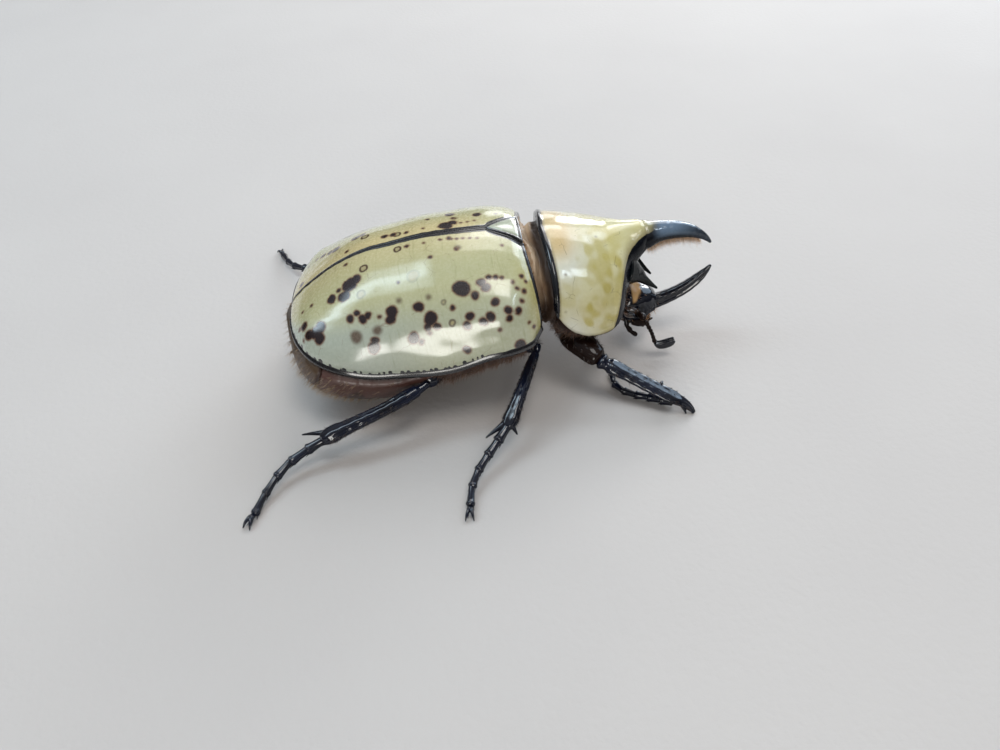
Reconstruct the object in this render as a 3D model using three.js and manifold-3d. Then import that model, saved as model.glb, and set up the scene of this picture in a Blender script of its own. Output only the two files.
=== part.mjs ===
// A male eastern Hercules beetle (Dynastes tityus), life size, in millimetres, +Z up.
// +X is the way the horns point, +Y is the animal's left, and the claws stand on one level.
// While it is being built, x = 0 is the front edge of the wing cases and z = 0 is the ground.

import * as THREE from 'three';
import { mergeVertices } from 'three/addons/utils/BufferGeometryUtils.js';
import Module from 'manifold-3d';

const wasm = await Module();
wasm.setup();

// ---- driving dimensions ----

const gap = 0.3;              // clearance between neighbouring pieces
const shellThickness = 0.9;   // wing case, edge to inner face
const wingCaseLength = 28.2;
const hindBodyLength = 29.1;  // abdomen, just past the wing cases
const domePower = 0.93;       // roundness of the sections of wing cases and pronotum
const baseHollow = 0.7;       // how far the midline front edge lies behind x = 0
const shoulderAhead = 1.2;    // how far the shoulders reach ahead of the midline front edge
const shoulderReach = 0.2;    // share of the length over which that fades
const closingStart = 0.6;     // share of the length where the rear begins to close
const hornSplit = 14;         // x of the cut between shield and horn
const waist = 1.35;           // x of the rear face of the pronotum at the midline
const waistCurve = 0.75;      // how far its flanks lie ahead of that
const waistReach = 3;         // length over which that fades
const mergeDistance = 1e-4;
const trimDepth = 4;
const trimReach = 120;

// Profiles are lists of [station, value]; wing case stations are shares of its length.
const wingCaseTop = profile([[0, 17.25], [0.06, 17.85], [0.15, 18], [0.35, 17.9], [0.6, 16.9], [1, 15.6]]);
const wingCaseMargin = profile(
  [[0, 10.05], [0.04, 9.35], [0.15, 9.15], [0.35, 7.8], [0.6, 7.4], [0.85, 8.7], [1, 9.85]],
);
const wingCaseHalfWidth = profile(
  [[0, 9.7], [0.04, 11.4], [0.15, 12.5], [0.35, 12.65], [0.6, 12.05], [1, 11.75]],
);
const bellyHalfWidth = profile([[0, 8.4], [0.15, 10.0], [0.35, 11.2], [0.6, 12.2], [1, 11.85]]);
const bellyHeight = profile([[0, 4.2], [0.15, 2.9], [0.4, 2.65], [0.7, 2.4], [0.9, 2.7], [1, 3.5]]);

// Pronotum stations are x.
const shieldHalfWidth = profile([
  [1.35, 8.8], [2.4, 9.2], [4, 9.45], [5.8, 9.55], [8, 9.0], [9.5, 8.1],
  [10.4, 6.9], [11.2, 4.9], [12, 3.55], [12.8, 2.75], [14, 1.9],
]);
const shieldMargin = profile([
  [1.35, 11.6], [2.4, 10.4], [4, 9.2], [5.8, 8.45], [8, 8.2], [9.5, 8.5],
  [10.4, 9.3], [11.2, 10.9], [12, 12.5], [12.8, 13.8], [14, 14.7],
]);
const shieldTop = profile([
  [1.35, 17.15], [2.2, 17.5], [4, 17.4], [5.8, 17.1], [8, 16.7], [9.5, 16.5], [11.2, 16.6], [14, 16.7],
]);
const shieldDepth = profile([[1.35, 0.6], [9.5, 0.8], [11.2, 1.1], [12, 1.3], [12.8, 1.5], [14, 1.2]]);
const throatHalfWidth = profile([[1.7, 7.4], [4, 8.6], [6, 8.7], [8.5, 7.6], [10.6, 4.4]]);
const throatBottom = profile([[1.7, 5.6], [4, 4.2], [7, 4.0], [9.5, 4.7], [10.6, 6.0]]);

// ---- finishes ----

const finishes = {
  wingCase: { color: 0xb9b183, roughness: 0.22, metalness: 0 },
  shield: { color: 0xb3a35c, roughness: 0.24, metalness: 0 },
  black: { color: 0x15151b, roughness: 0.3, metalness: 0 },
  belly: { color: 0x5a3422, roughness: 0.45, metalness: 0 },
  collar: { color: 0x9a6a3a, roughness: 0.7, metalness: 0 },
  eye: { color: 0x0d0b0a, roughness: 0.15, metalness: 0 },
};

// ---- small tools ----

// A smooth curve through [station, value] knots that never overshoots them.
function profile(knots) {
  const last = knots.length - 1;
  const run = (i) => knots[i + 1][0] - knots[i][0];
  const slope = (i) => (knots[i + 1][1] - knots[i][1]) / run(i);
  const tangent = (i) => {
    if (i === 0) return slope(0);
    if (i === last) return slope(last - 1);
    const before = slope(i - 1);
    const after = slope(i);
    if (before * after <= 0) return 0;
    const weightBefore = 2 * run(i) + run(i - 1);
    const weightAfter = run(i) + 2 * run(i - 1);
    return (weightBefore + weightAfter) / (weightBefore / before + weightAfter / after);
  };
  return (station) => {
    let i = 0;
    while (i < last - 1 && station > knots[i + 1][0]) i += 1;
    const h = run(i);
    const u = THREE.MathUtils.clamp((station - knots[i][0]) / h, 0, 1);
    const rise = (3 - 2 * u) * u * u;
    const leave = u * (1 - u) * (1 - u) * h;
    const arrive = u * u * (u - 1) * h;
    return knots[i][1] * (1 - rise) + knots[i + 1][1] * rise + tangent(i) * leave + tangent(i + 1) * arrive;
  };
}

const v3 = (x, y, z) => new THREE.Vector3(x, y, z);
const spread = (from, to, steps) => Array.from(
  { length: steps + 1 },
  (_, i) => from + (to - from) * i / steps,
);
const mirrored = (point, side) => v3(point[0], point[1] * side, point[2]);

// A closed body from loose triangles: shared corners joined, faces turned outward.
function body(triangles) {
  const loose = new THREE.BufferGeometry().setFromPoints(triangles.flat());
  const merged = mergeVertices(loose, mergeDistance);
  const corners = [];
  const index = merged.index.array;
  for (let i = 0; i < index.length; i += 3) {
    const [a, b, c] = [index[i], index[i + 1], index[i + 2]];
    if (a !== b && b !== c && c !== a) corners.push(a, b, c);
  }
  const points = merged.attributes.position;
  const at = (i) => v3(points.getX(i), points.getY(i), points.getZ(i));
  let volume = 0;
  for (let i = 0; i < corners.length; i += 3) {
    volume += at(corners[i]).dot(at(corners[i + 1]).cross(at(corners[i + 2])));
  }
  if (volume < 0) corners.reverse();
  merged.setIndex(corners);
  return merged;
}

const quad = (a, b, c, d) => [[a, b, c], [a, c, d]];

// A closed skin over rows of rings, each end closed round its middle.
function loft(rings) {
  const triangles = [];
  const sides = rings[0].length;
  for (let r = 0; r < rings.length - 1; r += 1) {
    for (let s = 0; s < sides; s += 1) {
      const n = (s + 1) % sides;
      triangles.push(...quad(rings[r][s], rings[r][n], rings[r + 1][n], rings[r + 1][s]));
    }
  }
  const close = (ring, outward) => {
    const middle = ring.reduce((sum, p) => sum.add(p), v3(0, 0, 0)).divideScalar(sides);
    for (let s = 0; s < sides; s += 1) {
      const n = (s + 1) % sides;
      triangles.push(outward ? [middle, ring[s], ring[n]] : [middle, ring[n], ring[s]]);
    }
  };
  close(rings[0], false);
  close(rings[rings.length - 1], true);
  return body(triangles);
}

// A plate between an outer and an inner sheet of the same rows and columns.
function plate(outer, inner) {
  const triangles = [];
  const rows = outer.length - 1;
  const columns = outer[0].length - 1;
  for (let r = 0; r < rows; r += 1) {
    for (let c = 0; c < columns; c += 1) {
      triangles.push(...quad(outer[r][c], outer[r][c + 1], outer[r + 1][c + 1], outer[r + 1][c]));
      triangles.push(...quad(inner[r][c], inner[r + 1][c], inner[r + 1][c + 1], inner[r][c + 1]));
    }
    for (const [c, turned] of [[0, false], [columns, true]]) {
      const edge = [inner[r][c], outer[r][c], outer[r + 1][c], inner[r + 1][c]];
      triangles.push(...quad(...(turned ? edge.reverse() : edge)));
    }
  }
  for (let c = 0; c < columns; c += 1) {
    for (const [r, turned] of [[0, true], [rows, false]]) {
      const edge = [inner[r][c], outer[r][c], outer[r][c + 1], inner[r][c + 1]];
      triangles.push(...quad(...(turned ? edge.reverse() : edge)));
    }
  }
  return body(triangles);
}

// A limb of oval rings along a path of [x, y, z, halfWidth, halfHeight] stations.
function limb(stations, side = 1, sides = 8, up = v3(0, 0, 1)) {
  const points = stations.map((s) => mirrored(s, side));
  const rings = points.map((point, i) => {
    const ahead = points[Math.min(i + 1, points.length - 1)];
    const behind = points[Math.max(i - 1, 0)];
    const along = ahead.clone().sub(behind).normalize();
    const across = along.clone().cross(up).normalize();
    const over = across.clone().cross(along);
    return spread(0, 2 * Math.PI, sides).slice(0, sides).map((angle) => point.clone()
      .addScaledVector(across, stations[i][3] * Math.cos(angle))
      .addScaledVector(over, stations[i][4] * Math.sin(angle)));
  });
  return loft(rings);
}

// The stations of a limb whose path and sizes run smoothly through a few given ones.
function smooth(stations, steps) {
  const path = new THREE.CatmullRomCurve3(stations.map((s) => v3(s[0], s[1], s[2])));
  const last = stations.length - 1;
  const sizeAt = (share, k) => {
    const i = Math.min(Math.floor(share * last), last - 1);
    return THREE.MathUtils.lerp(stations[i][k], stations[i + 1][k], share * last - i);
  };
  return spread(0, 1, steps).map((share) => {
    const point = path.getPoint(share);
    return [point.x, point.y, point.z, sizeAt(share, 3), sizeAt(share, 4)];
  });
}

// The same body with every corner moved out along its normal.
function grown(geometry, distance = gap) {
  const larger = geometry.clone();
  larger.computeVertexNormals();
  const { position, normal } = larger.attributes;
  for (let i = 0; i < position.count; i += 1) {
    position.setXYZ(
      i,
      position.getX(i) + normal.getX(i) * distance,
      position.getY(i) + normal.getY(i) * distance,
      position.getZ(i) + normal.getZ(i) * distance,
    );
  }
  larger.deleteAttribute('normal');
  return larger;
}

function solid(geometry) {
  const vertProperties = new Float32Array(geometry.attributes.position.array);
  const triVerts = new Uint32Array(geometry.index.array);
  return new wasm.Manifold(new wasm.Mesh({ numProp: 3, vertProperties, triVerts }));
}

const join = (pieces) => pieces.map(solid).reduce((sum, piece) => sum.add(piece));
const carve = (piece, cutters) => cutters.reduce((rest, cutter) => rest.subtract(solid(cutter)), piece);

// Everything below the ground, taken off whatever stands on it, so that each foot has a small flat.
function box(width, depth, height, x, y, z) {
  const geometry = new THREE.BoxGeometry(width, depth, height);
  geometry.deleteAttribute('normal');
  geometry.deleteAttribute('uv');
  return mergeVertices(geometry.translate(x, y, z));
}
const underground = box(trimReach, trimReach, trimDepth, 0, 0, -trimDepth / 2);

const beetle = new THREE.Group();

function add(name, piece, finish) {
  const mesh = piece.getMesh();
  const geometry = new THREE.BufferGeometry();
  geometry.setAttribute('position', new THREE.BufferAttribute(new Float32Array(mesh.vertProperties), 3));
  geometry.setIndex(Array.from(mesh.triVerts));
  const node = new THREE.Mesh(geometry, new THREE.MeshStandardMaterial(finishes[finish]));
  node.name = name;
  beetle.add(node);
}

// ---- wing cases ----

// Shares of the length, closer together where the rear closes.
const rearShares = (steps) => spread(0, Math.PI / 2, steps).map((a) => closingStart
  + (1 - closingStart) * (1 - Math.cos(a) ** 1.4));
const bodyShares = (front, rear) => [...spread(0, closingStart, front), ...rearShares(rear).slice(1)];

function closing(share, power, root) {
  if (share <= closingStart) return 1;
  const s = Math.min((share - closingStart) / (1 - closingStart), 1);
  return (1 - s ** power) ** root;
}

// A point on the domed wing cases; inset moves the whole dome inward, angle 0 is the midline.
function domePoint(share, angle, inset) {
  const halfWidth = (wingCaseHalfWidth(share) - inset) * closing(share, 3.1, 0.39);
  const margin = wingCaseMargin(share);
  const rise = (wingCaseTop(share) - inset - margin) * closing(share, 1.9, 0.67);
  const lift = Math.abs(Math.cos(angle)) ** domePower;
  const shoulder = shoulderAhead * Math.abs(Math.sin(angle)) ** 1.5 * Math.max(1 - share / shoulderReach, 0);
  const x = shoulder - baseHollow - (wingCaseLength - inset - baseHollow) * share;
  return v3(x, halfWidth * Math.sin(angle), margin + rise * lift);
}

const scutellumShape = new THREE.Shape();
scutellumShape.moveTo(0, -2.6);
scutellumShape.quadraticCurveTo(-2.4, -2.1, -4, 0);
scutellumShape.quadraticCurveTo(-2.4, 2.1, 0, 2.6);
const scutellumPlate = new THREE.ExtrudeGeometry(
  scutellumShape,
  { depth: 1.0, bevelEnabled: false, curveSegments: 4 },
);
scutellumPlate.deleteAttribute('normal');
scutellumPlate.deleteAttribute('uv');
const scutellum = mergeVertices(scutellumPlate, mergeDistance);
scutellum.rotateY(0.15).translate(-0.65, 0, 16.35);
add('scutellum', solid(scutellum), 'black');

const wingCaseShares = bodyShares(5, 6).map((share) => Math.min(share, 0.992));
for (const [name, side] of [['left', 1], ['right', -1]]) {
  const sheet = (inset) => wingCaseShares.map((share) => spread(0, Math.PI / 2, 8).map((angle) => {
    const point = domePoint(share, angle * side, inset);
    point.y = side * Math.max(Math.abs(point.y), gap / 2);
    return point;
  }));
  const shell = solid(plate(sheet(0), sheet(shellThickness)));
  add(`elytron_${name}`, carve(shell, [grown(scutellum)]), 'wingCase');
}

// ---- legs ----

// Each leg is given for the right side, from the body out. Stations: x, y, z, half width, half height.
const legs = {
  fore: {
    swing: 0.03,
    reach: 1,
    footBulk: 0.85,
    coxa: [[4.9, -0.6, 4.9, 1.0, 1.0], [4.6, -2.6, 4.8, 1.7, 1.5], [4.2, -4.5, 5.3, 1.2, 1.2]],
    femur: [
      [4.05, -5.2, 5.7, 1.0, 1.0], [4.6, -6.9, 6.3, 1.7, 1.3], [5.8, -9.0, 6.1, 1.55, 1.2],
      [6.6, -10.05, 5.75, 1.25, 1.05], [7.05, -10.6, 5.5, 0.9, 0.8],
    ],
    tibia: [
      [6.95, -10.5, 5.5, 0.95, 0.8], [7.9, -11.0, 5.05, 0.95, 0.72], [9.9, -11.85, 4.15, 0.95, 0.66],
      [13.2, -13.35, 2.6, 1.0, 0.62], [15.0, -14.2, 1.85, 0.98, 0.55], [16.3, -14.7, 1.1, 0.6, 0.45],
      [17.0, -15.1, 0.55, 0.36, 0.36], [17.35, -15.45, 0.12, 0.25, 0.25],
    ],
    spines: [
      [[15.9, -14.5, 1.2], [16.4, -15.4, 0.1]],
      [[13.6, -13.2, 2.7], [14.1, -12.5, 3.0]],
      [[11.4, -12.3, 3.6], [11.8, -11.75, 3.85]],
    ],
    tarsus: [
      [15.1, -13.9, 0.75], [13.6, -13.0, 0.6], [12.4, -12.35, 0.55], [11.0, -11.7, 0.5], [9.9, -10.85, 0.48],
      [9.25, -9.6, 0.45],
    ],
    claws: [[9.15, -9.25, 0.45], [8.9, -7.6, 0.12], [9.6, -7.5, 0.12]],
  },
  mid: {
    swing: -0.06,
    reach: 1,
    footBulk: 1,
    coxa: [[-4.9, -0.7, 3.6, 1.0, 1.0], [-4.9, -2.4, 3.4, 1.5, 1.3], [-4.6, -4.2, 3.9, 1.1, 1.1]],
    femur: [
      [-4.3, -4.8, 4.2, 0.9, 0.9], [-2.9, -5.8, 5.1, 1.5, 1.2], [-1.2, -6.8, 6.0, 1.4, 1.1],
      [-0.1, -7.3, 6.5, 0.85, 0.8],
    ],
    tibia: [
      [0.1, -7.9, 6.4, 0.54, 0.54], [-0.7, -9.8, 5.95, 0.56, 0.53], [-1.8, -12.1, 5.4, 0.66, 0.58],
      [-3.35, -15.2, 4.4, 0.76, 0.64], [-4.25, -16.8, 3.6, 0.88, 0.7], [-4.75, -17.6, 3.25, 0.6, 0.52],
    ],
    spines: [
      [[-4.8, -16.9, 3.4], [-7.1, -17.95, 2.6]],
      [[-4.2, -16.9, 3.4], [-3.6, -18.2, 2.8]],
    ],
    tarsus: [
      [-5.05, -17.85, 3.05], [-6.1, -18.95, 2.55], [-7.15, -20.05, 2.05], [-8.45, -21.7, 1.45],
      [-9.25, -23.5, 0.95], [-9.5, -25.2, 0.6],
    ],
    claws: [[-9.55, -25.5, 0.5], [-9.3, -27.0, 0.12], [-10.2, -26.9, 0.12]],
  },
  hind: {
    swing: 0.02,
    reach: 1.11,
    footBulk: 1,
    coxa: [[-11.9, -0.8, 3.5, 1.2, 0.9], [-12.0, -3.0, 3.4, 1.6, 1.1], [-12.2, -5.2, 3.8, 1.2, 1.0]],
    femur: [
      [-12.3, -5.9, 4.0, 1.0, 0.9], [-12.4, -7.8, 4.8, 1.7, 1.1], [-12.4, -9.8, 5.6, 1.6, 1.05],
      [-12.5, -11.3, 6.1, 0.95, 0.85],
    ],
    tibia: [
      [-12.9, -12.0, 6.1, 0.55, 0.55], [-14.0, -12.65, 5.9, 0.58, 0.56], [-18.2, -14.35, 4.95, 0.65, 0.6],
      [-22.0, -15.4, 4.1, 0.74, 0.68], [-24.2, -16.0, 3.55, 0.9, 0.76], [-25.1, -16.35, 3.2, 0.62, 0.55],
    ],
    spines: [
      [[-24.2, -15.5, 3.6], [-27.4, -14.7, 2.9]],
      [[-24.4, -16.4, 3.3], [-26.3, -16.2, 1.9]],
    ],
    tarsus: [
      [-25.35, -16.35, 3.05], [-26.9, -16.8, 2.5], [-28.25, -17.35, 2.1], [-29.5, -18.5, 1.6],
      [-30.75, -19.95, 1.15], [-31.5, -21.5, 0.8], [-32.15, -23.05, 0.52],
    ],
    claws: [[-32.3, -23.3, 0.48], [-32.55, -24.9, 0.12], [-33.3, -24.5, 0.12]],
  },
};
// The joints of a foot: half thickness where each one starts and near its far end.
const tarsomeres = [[0.44, 0.54], [0.36, 0.48], [0.33, 0.44], [0.3, 0.4], [0.28, 0.42]];
const tarsusEnd = 0.27;        // half thickness where the claws start
const clawArch = 0.35;         // rise of a claw over the straight line to its tip

// A spine or spur: a tapered limb from its root to its tip.
function spine([root, tip], side, rootSize = 0.42, tipSize = 0.25) {
  const stations = [[...root, rootSize, rootSize], [...tip, tipSize, tipSize]];
  return limb(stations, side, 5);
}

// Five joints, each narrow where it starts and wide just before it ends.
function tarsusStations(points, bulk) {
  const path = new THREE.CatmullRomCurve3(points.map((p) => v3(...p)));
  const stations = [];
  tarsomeres.forEach(([neck, flare], i) => {
    const start = path.getPointAt(i / tarsomeres.length);
    const swelling = path.getPointAt((i + 0.8) / tarsomeres.length);
    stations.push([...start.toArray(), neck * bulk, neck * bulk]);
    stations.push([...swelling.toArray(), flare * bulk, flare * bulk]);
  });
  stations.push([...path.getPointAt(1).toArray(), tarsusEnd, tarsusEnd]);
  return stations;
}

// One claw arches from the end of the tarsus down to its tip on the ground.
function claw(root, tip, side) {
  const middle = root.map((value, k) => (value + tip[k]) / 2);
  middle[2] += clawArch;
  const stations = [[...root, 0.34, 0.34], [...middle, 0.3, 0.3], [...tip, 0.25, 0.25]];
  return limb(stations, side, 5);
}

// The left legs mirror the right ones, each swung a little about its hip; the hind one stretches further.
const thoraxCutters = [];
for (const [pair, leg] of Object.entries(legs)) {
  for (const [name, side] of [['right', 1], ['left', -1]]) {
    const [hipX, hipY] = leg.coxa[2];
    const angle = side < 0 ? leg.swing : 0;
    const reach = side < 0 ? leg.reach : 1;
    const turn = ([x, y, ...rest]) => [
      hipX + reach * ((x - hipX) * Math.cos(angle) - (y - hipY) * Math.sin(angle)),
      hipY + reach * ((x - hipX) * Math.sin(angle) + (y - hipY) * Math.cos(angle)),
      ...rest,
    ];
    const coxa = limb(leg.coxa, side, 7);
    const femur = limb(leg.femur.map(turn), side, 7);
    const shin = limb(leg.tibia.map(turn), side, 7);
    const spines = leg.spines.map((ends) => spine(ends.map(turn), side));
    const tarsus = limb(tarsusStations(leg.tarsus.map(turn), leg.footBulk), side, 5);
    const [root, ...tips] = leg.claws.map(turn);
    const claws = tips.map((tip) => claw(root, tip, side));
    const node = (part) => `${pair}_leg_${name}_${part}`;
    add(node('coxa'), solid(coxa), 'black');
    add(node('femur'), carve(solid(femur), [grown(coxa)]), 'black');
    add(node('tibia'), carve(join([shin, ...spines]), [grown(femur), underground]), 'black');
    const tarsusCutters = [grown(shin), ...spines.map((s) => grown(s)), underground];
    add(node('tarsus'), carve(solid(tarsus), tarsusCutters), 'black');
    add(node('claws'), carve(join(claws), [grown(tarsus), underground]), 'black');
    thoraxCutters.push(grown(coxa), grown(femur), grown(shin));
  }
}

// ---- hind body: thorax underside, abdomen, pygidium ----

const waistStation = 0.01;
const thoraxEnd = 0.42;
const pygidiumStart = 0.9;
const lowerPower = profile([[0, 2.5], [0.42, 2.5], [0.65, 3.6], [1, 3.6]]);   // boxiness of the belly's section

// A ring round the hind body: the dome under the wing cases above, the deeper belly below.
function hindRing(share) {
  const inset = shellThickness + gap;
  const upper = spread(-Math.PI / 2, Math.PI / 2, 8).map((angle) => domePoint(share, angle, inset));
  const rimX = upper[0].x;
  const rimShare = -(rimX + baseHollow) / (wingCaseLength - baseHollow);
  const margin = Math.min(wingCaseMargin(share), wingCaseMargin(rimShare)) - gap;
  const halfWidth = bellyHalfWidth(share) * closing(share, 5.7, 0.41);
  const depth = (margin - bellyHeight(share)) * closing(share, 2.5, 0.5);
  const lower = spread(0, Math.PI, 8).map((angle) => {
    const across = Math.sign(Math.cos(angle)) * Math.abs(Math.cos(angle)) ** (2 / lowerPower(share));
    const down = Math.sin(angle) ** (2 / lowerPower(share));
    const x = THREE.MathUtils.lerp(rimX, -hindBodyLength * share, down);
    return v3(x, halfWidth * across, margin - depth * down);
  });
  return [...upper, ...lower];
}

const stretch = (from, to, steps) => spread(from, to, steps).map(hindRing);
const slit = gap / wingCaseLength;
const hindBody = {
  thorax_underside: [waistStation, thoraxEnd - slit, 3, 'belly'],
  abdomen: [thoraxEnd, pygidiumStart - slit, 6, 'belly'],
  pygidium: [pygidiumStart, 0.992, 4, 'belly'],
};
for (const [name, [from, to, steps, finish]] of Object.entries(hindBody)) {
  const piece = solid(loft(stretch(from, to, steps)));
  add(name, carve(piece, [grown(scutellum), ...thoraxCutters]), finish);
}

// ---- collar between wing cases and pronotum ----

// How far a point of the rear rim lies ahead of the midline above, by its angle round the body.
function rearRim(angle) {
  if (Math.cos(angle) < 0) return waistCurve;
  return waistCurve * Math.abs(Math.sin(angle)) ** 1.2;
}

const collarHalfWidth = 7.9;
const collarHeight = 5.2;
const collarMiddle = 11.2;
function collarRing(x, shrink, curve) {
  return spread(0, 2 * Math.PI, 20).slice(0, 20).map((angle) => v3(
    x + curve * rearRim(angle),
    (collarHalfWidth - shrink) * Math.sin(angle),
    collarMiddle + (collarHeight - shrink) * Math.cos(angle),
  ));
}
const collar = loft([collarRing(-baseHollow + gap, 0, 1.4), collarRing(waist - 1.3 * gap, gap, 0.85)]);
add('collar', carve(solid(collar), [grown(scutellum)]), 'collar');

// ---- pronotum and its horns ----

function shieldRing(x) {
  const ahead = Math.max(1 - (x - waist) / waistReach, 0);
  const halfWidth = shieldHalfWidth(x);
  const margin = shieldMargin(x);
  const rise = shieldTop(x) - margin;
  const depth = shieldDepth(x);
  const upper = spread(-Math.PI / 2, Math.PI / 2, 16).map((angle) => v3(
    x + ahead * rearRim(angle),
    halfWidth * Math.sin(angle),
    margin + rise * Math.abs(Math.cos(angle)) ** domePower,
  ));
  const lower = spread(Math.PI / 2, -Math.PI / 2, 6).slice(1, 6).map((angle) => v3(
    x + ahead * waistCurve,
    halfWidth * Math.sin(angle) * 0.96,
    margin - depth * Math.cos(angle) ** 0.7,
  ));
  return [...upper, ...lower];
}

const shieldStations = [waist, 1.8, 2.6, 4, 5.8, 8, 9.3, 10.2, 10.9, 11.6, 12.3, 13.1, hornSplit - gap / 2];
const shield = loft(shieldStations.map(shieldRing));
add('pronotum', solid(shield), 'shield');

const hornRoot = hornSplit + gap / 2;
const hornStations = [
  [hornRoot, 0, 15.15, 1.9, 1.55], [15.1, 0, 15.25, 1.5, 1.3], [16.6, 0, 15.3, 1.15, 1.08],
  [18.2, 0, 15.2, 1.0, 0.95], [19.6, 0, 14.85, 0.78, 0.76], [20.8, 0, 14.25, 0.55, 0.52],
  [21.7, 0, 13.55, 0.36, 0.36], [22.25, 0, 12.95, 0.25, 0.25],
];
const mainHorn = limb(hornStations, 1, 10);
const hornFront = box(trimDepth, trimDepth * 2, trimDepth * 2, hornRoot - trimDepth / 2, 0, 14.75);
add('pronotal_horn', carve(solid(mainHorn), [hornFront]), 'black');

for (const [name, side] of [['left', -1], ['right', 1]]) {
  const sideHorn = limb([
    [11.4, -3.0, 12.1, 1.5, 1.8], [12.2, -2.7, 11.5, 1.2, 1.45], [12.9, -2.45, 11.0, 0.85, 1.05],
    [13.7, -2.15, 10.2, 0.52, 0.58], [14.6, -1.85, 9.25, 0.34, 0.38], [15.9, -1.5, 7.95, 0.25, 0.25],
  ], side, 7);
  add(`side_horn_${name}`, carve(solid(sideHorn), [grown(shield)]), 'black');
}

// ---- underside of the prothorax ----

function throatRing(x) {
  const halfWidth = throatHalfWidth(x);
  const bottom = throatBottom(x);
  const middle = 9.6;
  return spread(0, 2 * Math.PI, 16).slice(0, 16).map((angle) => v3(
    x,
    halfWidth * Math.sin(angle),
    middle + (middle - bottom) * Math.cos(angle) * (Math.cos(angle) > 0 ? 0.5 : 1),
  ));
}
const throat = loft(spread(waist + waistCurve, 10.5, 4).map(throatRing));
add('prosternum', carve(solid(throat), [grown(shield), ...thoraxCutters]), 'belly');

// ---- head ----

const headSkull = limb([
  [10.9, 0, 6.7, 2.2, 1.8], [11.7, 0, 6.3, 2.9, 2.3], [12.8, 0, 5.5, 3.1, 2.15], [13.9, 0, 4.9, 2.5, 1.8],
  [14.8, 0, 4.6, 1.8, 1.35], [15.3, 0, 4.4, 1.0, 0.9],
], 1, 12);
const headHorn = limb([
  [14.1, 0, 4.6, 0.9, 1.15], [15.2, 0, 4.7, 0.85, 1.1], [16.4, 0, 4.95, 0.78, 0.98],
  [18.2, 0, 5.6, 0.68, 0.86], [20.0, 0, 6.6, 0.6, 0.76], [21.3, 0, 7.7, 0.52, 0.64],
  [22.25, 0, 8.8, 0.4, 0.48], [22.75, 0, 9.6, 0.25, 0.25],
], 1, 10);
const eyeRadius = 0.85;
const eyeSpot = [12.4, -2.95, 5.9];
const neckCutters = [grown(throat), grown(shield)];
const eyes = {};
for (const [name, side] of [['left', -1], ['right', 1]]) {
  const ball = new THREE.SphereGeometry(eyeRadius, 8, 6);
  ball.deleteAttribute('normal');
  ball.deleteAttribute('uv');
  const spot = mirrored(eyeSpot, side);
  eyes[name] = body(looseTriangles(mergeVertices(ball.translate(spot.x, spot.y, spot.z), mergeDistance)));
  add(`eye_${name}`, carve(solid(eyes[name]), neckCutters), 'eye');
}

function looseTriangles(geometry) {
  const { position } = geometry.attributes;
  const index = geometry.index.array;
  const triangles = [];
  for (let i = 0; i < index.length; i += 3) {
    triangles.push([0, 1, 2].map((k) => new THREE.Vector3().fromBufferAttribute(position, index[i + k])));
  }
  return triangles;
}

const head = carve(solid(headSkull), [...neckCutters, grown(headHorn), grown(eyes.left), grown(eyes.right)]);
add('head', head, 'black');
add('head_horn', solid(headHorn), 'black');

const chin = limb([
  [11.4, 0, 4.1, 1.0, 0.5], [12.6, 0, 3.2, 1.5, 0.6], [13.7, 0, 2.7, 1.2, 0.5], [14.4, 0, 2.5, 0.6, 0.4],
], 1, 8);
add('mentum', carve(solid(chin), [grown(headSkull), grown(throat)]), 'belly');

for (const [name, side] of [['left', -1], ['right', 1]]) {
  const jaw = limb([
    [13.2, -1.9, 3.6, 0.6, 0.5], [14.2, -1.75, 3.1, 0.65, 0.45], [15.1, -1.2, 3.0, 0.4, 0.35],
    [15.5, -0.8, 3.2, 0.26, 0.26],
  ], side, 6);
  const feeler = limb(smooth([
    [12.0, -2.5, 4.3, 0.35, 0.35], [12.15, -2.8, 3.5, 0.38, 0.38], [12.7, -2.85, 2.65, 0.3, 0.3],
    [13.45, -2.8, 1.9, 0.25, 0.25],
  ], 4), side, 6);
  const stalk = limb(smooth([
    [13.0, -3.1, 5.7, 0.42, 0.42], [13.5, -4.3, 6.1, 0.42, 0.42], [14.1, -4.95, 5.1, 0.3, 0.3],
    [14.65, -5.0, 4.0, 0.3, 0.3], [15.2, -5.0, 2.4, 0.34, 0.34],
  ], 6), side, 6);
  const club = limb([
    [15.2, -5.0, 1.95, 0.3, 0.35], [15.8, -5.0, 1.8, 0.48, 0.5], [16.6, -5.0, 1.85, 0.52, 0.55],
    [17.3, -5.0, 2.2, 0.45, 0.4], [17.65, -5.0, 2.5, 0.25, 0.25],
  ], side, 8);
  const headParts = [grown(headSkull), grown(throat), grown(eyes[name])];
  add(`mandible_${name}`, carve(solid(jaw), [grown(headSkull), grown(chin), grown(headHorn)]), 'black');
  add(`palp_${name}`, carve(solid(feeler), [...headParts, grown(jaw), grown(chin)]), 'belly');
  add(`antenna_${name}`, carve(solid(stalk), [...headParts, grown(club)]), 'black');
  add(`antenna_club_${name}`, solid(club), 'black');
}

// The middle of the length becomes the origin, with the midline at y = 0 and the flats at z = 0.
const extent = new THREE.Box3().setFromObject(beetle);
const centre = extent.getCenter(v3(0, 0, 0));
beetle.position.set(-centre.x, 0, -extent.min.z);

export default beetle;
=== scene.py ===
# A male eastern Hercules beetle (Dynastes tityus) at life size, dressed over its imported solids.
# Shapes are worked out in millimetres: x = 0 at the front edge of the wing cases, +X to the horns,
# +Y to the animal's left, z = 0 at the ground. placed() turns that into the frame's metres.

import math

import bpy
import numpy as np
from mathutils import Matrix, Vector


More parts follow.
